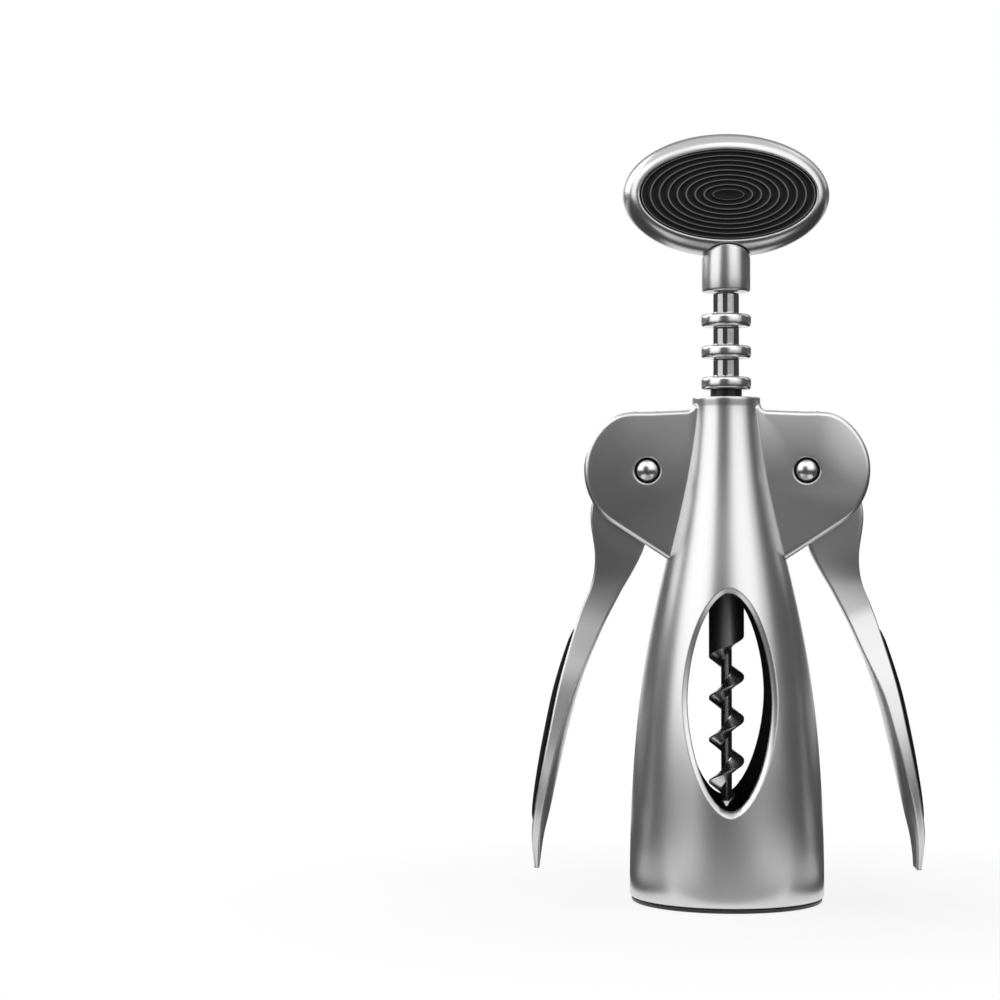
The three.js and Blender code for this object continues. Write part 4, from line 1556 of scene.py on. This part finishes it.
@dataclass
class Lever:
    """One wing: a toothed head between the ears and a swept arm with a rubber pad."""

    bell: Bell
    thickness: float = 4.6
    length: float = 94.6
    spread: float = 27.9
    neck_width: float = 7.4
    grip_width: float = 16
    grip_bulge: float = 1.8
    bulge_power: float = 2.4
    bulge_steps: int = 12
    edge: float = 0.5
    inner_edge_share: float = 0.6
    crease: tuple[Point, ...] = ((0, 0), (0.7, 0.12), (1, 0.6))
    flat_rows: tuple[float, float] = (0.06, 0.94)
    edge_steps: int = 4
    pad_proud: float = 1.25
    pad_edge_proud: float = 0.45
    pad_sink: float = 0.6
    pad_margin: float = 1.7
    pad_start: float = 0.417
    pad_end: float = 0.862
    pad_gap: float = 0.12
    pad_rows: int = 36
    pad_steps: int = 12
    pad_end_share: float = 0.06
    pad_end_width: float = 0.6
    pad_least: tuple[float, float] = (0.8, 0.6)
    pad_blend: float = 0.4
    pad_rise_power: float = 0.8
    pad_fall: float = 0.55
    pad_fall_power: float = 3.2
    teeth: int = 11
    teeth_above: int = 4
    teeth_below: int = 1
    pitch: float = 7.5
    mesh_offset: float = 2.05
    tip_radius: float = 14.4
    root_radius: float = 12.7
    pitch_radius: float = 13.1303
    rack_edge: float = 12.9003
    ring_corner: float = 0.9
    ring_thickness: float = 3
    mesh_gap: float = 0.2
    tip_round: float = 0.45
    flank_rows: int = 8
    ring_places: int = 100
    root_steps: int = 90
    bore: float = 2.25
    rows: int = 56
    hidden_share: float = 0.11
    hidden_side: float = 12
    outer_x: tuple = (0.4, 0.485, 0.448, 0.475, 0.57, 0.664, 0.762, 0.836, 0.905, 0.958, 0.985, 0.965)
    outer_z: tuple = (0, 0.107, 0.212, 0.282, 0.353, 0.44, 0.546, 0.652, 0.757, 0.845, 0.915, 1)
    side_widths: tuple = (2.9, 2.5, 1.52, 1.0, 0.88, 0.75, 0.525, 0.415, 0.32, 0.27, 0.27, 0.16)
    widening: tuple = (0, 0, 0, 0, 0, 0.22, 0.62, 0.9, 1, 0.93, 0.72, 0.3)
    swelling: tuple = (0, 0, 0, 0, 0, 0.03, 0.54, 0.7, 0.9, 0.92, 0.5, 0)
    tilting: tuple = (0, 0, 0.03, 0.15, 0.22, 0.2, 0.15, 0.16, 0.23, 0.3, 0.34, 0.35)

    def station(self, share: float) -> tuple[Vector, Vector, float, float, float, float]:
        """The arm at a share of its length.

        Args:
            share: From 0 at the pivot to 1 at the tip.

        Returns:
            Place on the outer edge, direction inwards, width of the side, half depth at its inner and
            at its outer edge, and swelling.
        """
        last, step = len(self.outer_x) - 1, 1e-3
        at = share * last
        ahead, behind = min(at + step, last), max(at - step, 0)

        def edge(where: float) -> Vector:
            """Place on the outer edge, at a place in the tables."""
            x = -smooth_between(self.outer_x, where) * self.spread
            return Vector((x, 0, -smooth_between(self.outer_z, where) * self.length))

        tangent = (edge(ahead) - edge(behind)).normalized()
        inward = Vector((-tangent.z, 0, tangent.x))
        side = smooth_between(self.side_widths, at) * self.neck_width
        if share < self.hidden_share:
            # Between the ears, where sections that reached further would cross each other.
            side = min(side, self.hidden_side)
        widening = max(0.0, smooth_between(self.widening, at))
        half = (self.thickness + widening * (self.grip_width - self.thickness)) / 2
        outer_half = half - side * max(0.0, smooth_between(self.tilting, at))
        bulge = max(0.0, smooth_between(self.swelling, at)) * self.grip_bulge
        return edge(at), inward, side, half, outer_half, bulge

    def placed(self, share: float, section: Sequence[Point]) -> list[Vector]:
        """A section of [distance inwards, y] pairs set in place, in metres."""
        place, inward = self.station(share)[:2]
        return [(place + inward * inset + Vector((0, y, 0))) * MM for inset, y in section]

    def arm(self) -> bpy.types.Object:
        """The arm, lofted through rounded sections.

        Returns:
            The arm.
        """
        loops = []
        for row in range(self.rows + 1):
            share = row / self.rows
            side, half, outer_half, bulge = self.station(share)[2:]
            corner, inner = min(self.edge, side / 3), min(self.edge * self.inner_edge_share, side / 4)
            front = arc((corner, outer_half - corner), corner, 180, 90, self.edge_steps)
            # Rows close to both ends of the side face keep its shading even.
            (x, y), along, rise = front[-1], side - inner - corner, half - outer_half
            front += [(x + along * part, y + rise * part) for part in self.flat_rows]
            front += [(side - inner + inner * inward, half - inner * down) for inward, down in self.crease]
            section, last = list(front), front[-1][1]
            for i in range(1, self.bulge_steps):
                across = 1 - 2 * i / self.bulge_steps
                section.append((side + bulge * (1 - abs(across) ** self.bulge_power), across * last))
            loops.append(self.placed(share, section + mirror_y(front)))
        return Bench("arm").loft(loops).done()

    def pad_solid(self, margin: float, name: str) -> bpy.types.Object:
        """The crowned pad on the arm's outer face, or with a margin what cuts its recess.

        Args:
            margin: How much larger than the pad it is.
            name: The mesh's name.

        Returns:
            The solid.
        """
        start, end = self.pad_start - margin / self.length, self.pad_end + margin / self.length
        loops = []
        for row in range(self.pad_rows + 1):
            along = row / self.pad_rows
            share = start + (end - start) * along
            outer_half = self.station(share)[4]
            head, edge = self.pad_least
            inset, least = outer_half - self.pad_margin, min(self.thickness / 2 - head, outer_half - edge)
            full = (inset + least + math.hypot(inset - least, self.pad_blend)) / 2
            closing = min(1.0, min(along, 1 - along) / self.pad_end_share)
            wide = self.pad_end_width + (1 - self.pad_end_width) * math.sqrt(1 - (1 - closing) ** 2)
            half = full * wide + margin
            rise = math.sin(math.pi * along) ** self.pad_rise_power if 0 < along < 1 else 0
            crown = self.pad_edge_proud * (1 + closing) / 2 + (self.pad_proud - self.pad_edge_proud) * rise
            section = []
            for i in range(self.pad_steps + 1):
                across = 1 - 2 * i / self.pad_steps
                fall = self.pad_fall * abs(across) ** self.pad_fall_power
                section.append((crown * (fall - 1), across * half))
            floor = self.pad_sink + margin
            loops.append(self.placed(share, [*section, (floor, -half), (floor, half)]))
        return Bench(name).loft(loops).done(sharp=40)

    def flank(self) -> list[Point]:
        """Polar corners of a tooth's upper flank, clear of the rings at every place that they take.

        Returns:
            Its [radius, angle in radians] corners, from root to tip.
        """
        corner_x = self.rack_edge + self.ring_corner
        corner_z = self.pitch / 2 - self.ring_thickness / 2 + self.ring_corner
        away = self.ring_corner + self.mesh_gap
        points = []
        for i in range(self.flank_rows + 1):
            radius = self.root_radius + (self.tip_radius - self.root_radius) * i / self.flank_rows
            angle = corner_z / self.pitch_radius
            for place in range(-self.ring_places, self.ring_places + 1):
                shift = self.pitch * place / self.ring_places
                cosine, sine = math.cos(shift / self.pitch_radius), math.sin(shift / self.pitch_radius)
                x = corner_x * cosine - (corner_z - shift) * sine
                y = corner_x * sine + (corner_z - shift) * cosine
                distance = math.hypot(x, y)
                bearing = (radius**2 + distance**2 - away**2) / (2 * radius * distance)
                if abs(bearing) < 1:
                    angle = min(angle, math.atan2(y, x) - math.acos(bearing))
            points.append((radius, angle))
        return points

    def head_outline(self) -> list[Point]:
        """The toothed head's outline about the pivot, its teeth towards +x.

        Returns:
            Its [x, z] corners.
        """
        flank = self.flank()
        tip = flank[-1][1] - self.tip_round / self.tip_radius
        phase = self.mesh_offset / self.pitch_radius
        polar = []
        for tooth in range(-self.teeth_below, self.teeth_above + 1):
            middle = phase + tooth * FULL_TURN / self.teeth
            polar += [(radius, middle - angle) for radius, angle in flank[:-1]]
            polar += [(self.tip_radius, middle - tip), (self.tip_radius, middle + tip)]
            polar += [(radius, middle + angle) for radius, angle in reversed(flank[:-1])]
        last = polar[-1][1]
        rest = polar[0][1] + FULL_TURN - last
        polar += [(self.root_radius, last + rest * i / self.root_steps) for i in range(1, self.root_steps)]
        return [(radius * math.cos(angle), radius * math.sin(angle)) for radius, angle in polar]

    def wing(self) -> bpy.types.Object:
        """Head and arm in one, with the bore and the pad's recess, in the pivot's own frame.

        Returns:
            The wing.
        """
        half = self.thickness / 2
        wing = Bench("wing").prism(self.head_outline(), -half, half).done()
        apply_boolean(wing, self.arm(), "UNION")
        end = half + OVERRUN
        hole = [(0, -end), (self.bore, -end), (self.bore, end), (0, end)]
        apply_boolean(wing, Bench("bore").spin(hole, ROD_STEPS, Axis.Y).done())
        apply_boolean(wing, self.pad_solid(self.pad_gap, "pad_recess"))
        return wing

    def build(self, finishes: Finishes) -> None:
        """Models one wing and one pad in the pivot's frame, copies them and dresses both pairs.

        Args:
            finishes: Every material.
        """
        pieces = (
            (self.wing(), "wing", finishes.lever, "lever_alloy", "lever"),
            (self.pad_solid(0, "wing_pad"), "wing_pad", finishes.grip, "grip_rubber", "lever_pad"),
        )
        for side, name, turn in ((Side.HIGH, "right", 180), (Side.LOW, "left", 0)):
            for source, title, finish, slot, node in pieces:
                piece = source
                if side is Side.HIGH:
                    piece = source.copy()
                    piece.data = source.data.copy()
                    bpy.context.collection.objects.link(piece)
                bench = Bench(f"{title}_{name}", piece)
                bench.turn(turn).move(self.bell.pivot(side)).done(sharp=40)
                fit(piece, finish, f"{name}_lever", f"{node}_{name}")


# Studio


@dataclass(frozen=True)
class Softbox:
    """A rectangular lamp, in metres. Azimuth is 0 on the camera's side and grows to the right."""

    name: str
    azimuth: float
    elevation: float
    distance: float
    width: float
    height: float
    radiance: float

    def place(self, target: Vector) -> None:
        """Adds the lamp, looking at a target.

        Args:
            target: What it looks at.
        """
        lamp = bpy.data.lights.new(self.name, "AREA")
        lamp.shape = "RECTANGLE"
        lamp.size, lamp.size_y = self.width, self.height
        lamp.energy = self.radiance * math.pi * self.width * self.height
        holder = bpy.data.objects.new(self.name, lamp)
        bpy.context.collection.objects.link(holder)
        azimuth, elevation = math.radians(self.azimuth), math.radians(self.elevation)
        level = math.cos(elevation)
        away = Vector((math.sin(azimuth) * level, -math.cos(azimuth) * level, math.sin(elevation)))
        holder.location = target + away * self.distance
        holder.rotation_euler = away.to_track_quat("Z", "Y").to_euler()
        holder.visible_camera = False


@dataclass
class Studio:
    """Floor, backdrop, cards, lamps and camera, in metres."""

    target: Vector = field(default_factory=lambda: Vector((0, 0, 0.09)))
    world_level: float = 0.105
    shade_reach: float = 0.13
    eye_distance: float = 0.6
    eye_height: float = 0.0882
    eye_azimuth: float = 2.6
    turn_aside: float = 5.172
    tilt: float = 0.6875
    lens: float = 90
    sensor: float = 36
    clip: float = 0.01
    floor_size: tuple[float, float] = (8, 8)
    floor_shade: float = 0.2
    shade_core: float = 0.4
    backdrop_place: Place = (-0.1, 3, 0.52)
    backdrop_size: tuple[float, float] = (2.6, 1.06)
    paper_tone: float = 0.82
    black_tone: float = 0.03
    grey_tone: float = 0.4
    matt: float = 0.9
    card_height: float = 0.001
    cards: tuple[tuple[str, float, float, tuple[float, float]], ...] = (
        ("card_front", 0, -2.07, (8, 3.86)),
        ("card_foot", 0, -0.084, (0.09, 0.112)),
        ("card_right", 2.065, 0.4525, (3.87, 1.185)),
        ("card_left", -2.065, 0.4525, (3.87, 1.185)),
        ("card_side_right", 0.11, 0.5, (0.04, 1.06)),
        ("card_side_left", -0.11, 0.5, (0.04, 1.06)),
        ("card_near_right", 0.043, 0.0025, (0.026, 0.055)),
        ("card_near_left", -0.043, 0.0025, (0.026, 0.055)),
        ("card_near_back", 0, 0.09, (0.18, 0.12)),
    )
    softboxes: tuple[Softbox, ...] = (
        Softbox("left", -57, 31, 1.0, 0.97, 1.14, 1.42),
        Softbox("far_left", -121, 34, 1.0, 0.7, 0.75, 2.5),
        Softbox("right", 36, 36, 1.0, 0.72, 1.06, 0.62),
        Softbox("right_wide", 39, 32, 1.03, 1.28, 1.16, 0.72),
        Softbox("far_right", 124, 40, 1.0, 0.5, 0.75, 0.7),
        Softbox("fill", -8, 50, 1.06, 0.7, 0.6, 1.0),
        Softbox("top", 0, 94, 0.9, 1.1, 0.9, 0.7),
        Softbox("back", 172, 50, 1.2, 1.2, 0.7, 0.25),
    )

    def matt_graph(self, name: str, tone: float) -> Graph:
        """Starts a matt grey.

        Args:
            name: The material's name.
            tone: How light it is, from 0 to 1.

        Returns:
            The material's graph.
        """
        graph = Graph(name)
        graph.dress(base_color=(tone, tone, tone, 1), roughness=self.matt)
        return graph

    def white_paper(self, name: str, shade: float) -> bpy.types.Material:
        """Paper that looks white to the camera and in metal, and takes the shadow near its middle.

        Args:
            name: The material's name.
            shade: Share of the shadow that shows there.

        Returns:
            The material.
        """
        graph = self.matt_graph(name, self.paper_tone)
        path = graph.tree.nodes.new("ShaderNodeLightPath")
        seen = Signal(graph, path.outputs["Is Camera Ray"])
        for ray in ("Is Glossy Ray", "Is Transmission Ray"):
            other = Signal(graph, path.outputs[ray])
            seen = graph.node("ShaderNodeMath", {"operation": "MAXIMUM"}, {0: seen, 1: other})
        away = graph.node("ShaderNodeVectorMath", {"operation": "LENGTH"}, {0: graph.place}, output="Value")
        fading = graph.ramp(away / self.shade_reach, [(self.shade_core, shade), (1, 0)])
        glow = graph.node("ShaderNodeEmission", {}, {"Color": (1, 1, 1, 1), "Strength": 1.0})
        paper = Signal(graph, graph.shader.outputs[0])
        mixed = graph.node("ShaderNodeMixShader", {}, {0: seen * (1 - fading), 1: paper, 2: glow})
        output = graph.tree.nodes["Material Output"]
        graph.tree.links.new(mixed.socket, output.inputs["Surface"])
        graph.material.cycles.emission_sampling = "NONE"
        return graph.material

    def add_sheet(
        self, name: str, place: Place, size: tuple[float, float], material: bpy.types.Material
    ) -> bpy.types.Object:
        """Adds a flat sheet that lies on or over the floor.

        Args:
            name: Its name.
            place: Its centre.
            size: Width and length.
            material: Its material.

        Returns:
            The sheet.
        """
        bpy.ops.object.select_all(action="DESELECT")
        bpy.ops.mesh.primitive_plane_add(size=1, location=(0, 0, 0))
        sheet = bpy.context.active_object
        sheet.name = name
        sheet.scale = (*size, 1)
        bpy.ops.object.transform_apply(location=False, rotation=False, scale=True)
        sheet.location = place
        sheet.data.materials.append(material)
        return sheet

    def build(self) -> None:
        """Sets up the studio. The cards are seen in the metal only."""
        floor = self.white_paper("floor_paper", self.floor_shade)
        backdrop = self.white_paper("backdrop_paper", 0)
        self.add_sheet("floor", (0, 0, 0), self.floor_size, floor)
        upright = self.add_sheet("backdrop", self.backdrop_place, self.backdrop_size, backdrop)
        upright.rotation_euler = (math.pi / 2, 0, 0)
        black = self.matt_graph("black_card", self.black_tone).material
        mid_grey = self.matt_graph("grey_card", self.grey_tone).material
        for name, x, y, size in self.cards:
            finish = mid_grey if name == "card_foot" else black
            card = self.add_sheet(name, (x, y, self.card_height), size, finish)
            card.visible_camera = card.visible_diffuse = card.visible_shadow = False
        for softbox in self.softboxes:
            softbox.place(self.target)
        world = bpy.data.worlds.new("studio")
        world.use_nodes = True
        background = world.node_tree.nodes["Background"]
        background.inputs["Color"].default_value = (1, 1, 1, 1)
        background.inputs["Strength"].default_value = self.world_level
        world.cycles.sampling_method = "NONE"
        bpy.context.scene.world = world
        bpy.context.scene.view_settings.view_transform = "Standard"
        self.add_camera()

    def add_camera(self) -> None:
        """Adds the camera at the photograph's place."""
        azimuth = math.radians(self.eye_azimuth)
        lens = bpy.data.cameras.new("eye")
        lens.lens = self.lens
        lens.sensor_width = self.sensor
        lens.clip_start = self.clip
        camera = bpy.data.objects.new("eye", lens)
        bpy.context.collection.objects.link(camera)
        east, north = math.sin(azimuth), math.cos(azimuth)
        camera.location = (-self.eye_distance * east, -self.eye_distance * north, self.eye_height)
        heading = math.radians(self.turn_aside - self.eye_azimuth)
        camera.rotation_euler = (math.radians(90 + self.tilt), 0, heading)
        bpy.context.scene.camera = camera


def main() -> None:
    """Builds the studio and the corkscrew; the CAD parts that the pieces stand for stay in the scene, hidden.
    """
    logging.basicConfig(level=logging.INFO, format="%(message)s")
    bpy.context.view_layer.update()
    Studio().build()
    finishes = Finishes()
    bell = Bell()
    for assembly in (bell, BottleGuide(bell), Rivets(bell), Rack(), Worm(), Handle(), Lever(bell)):
        assembly.build(finishes)


if __name__ == "__main__":
    main()
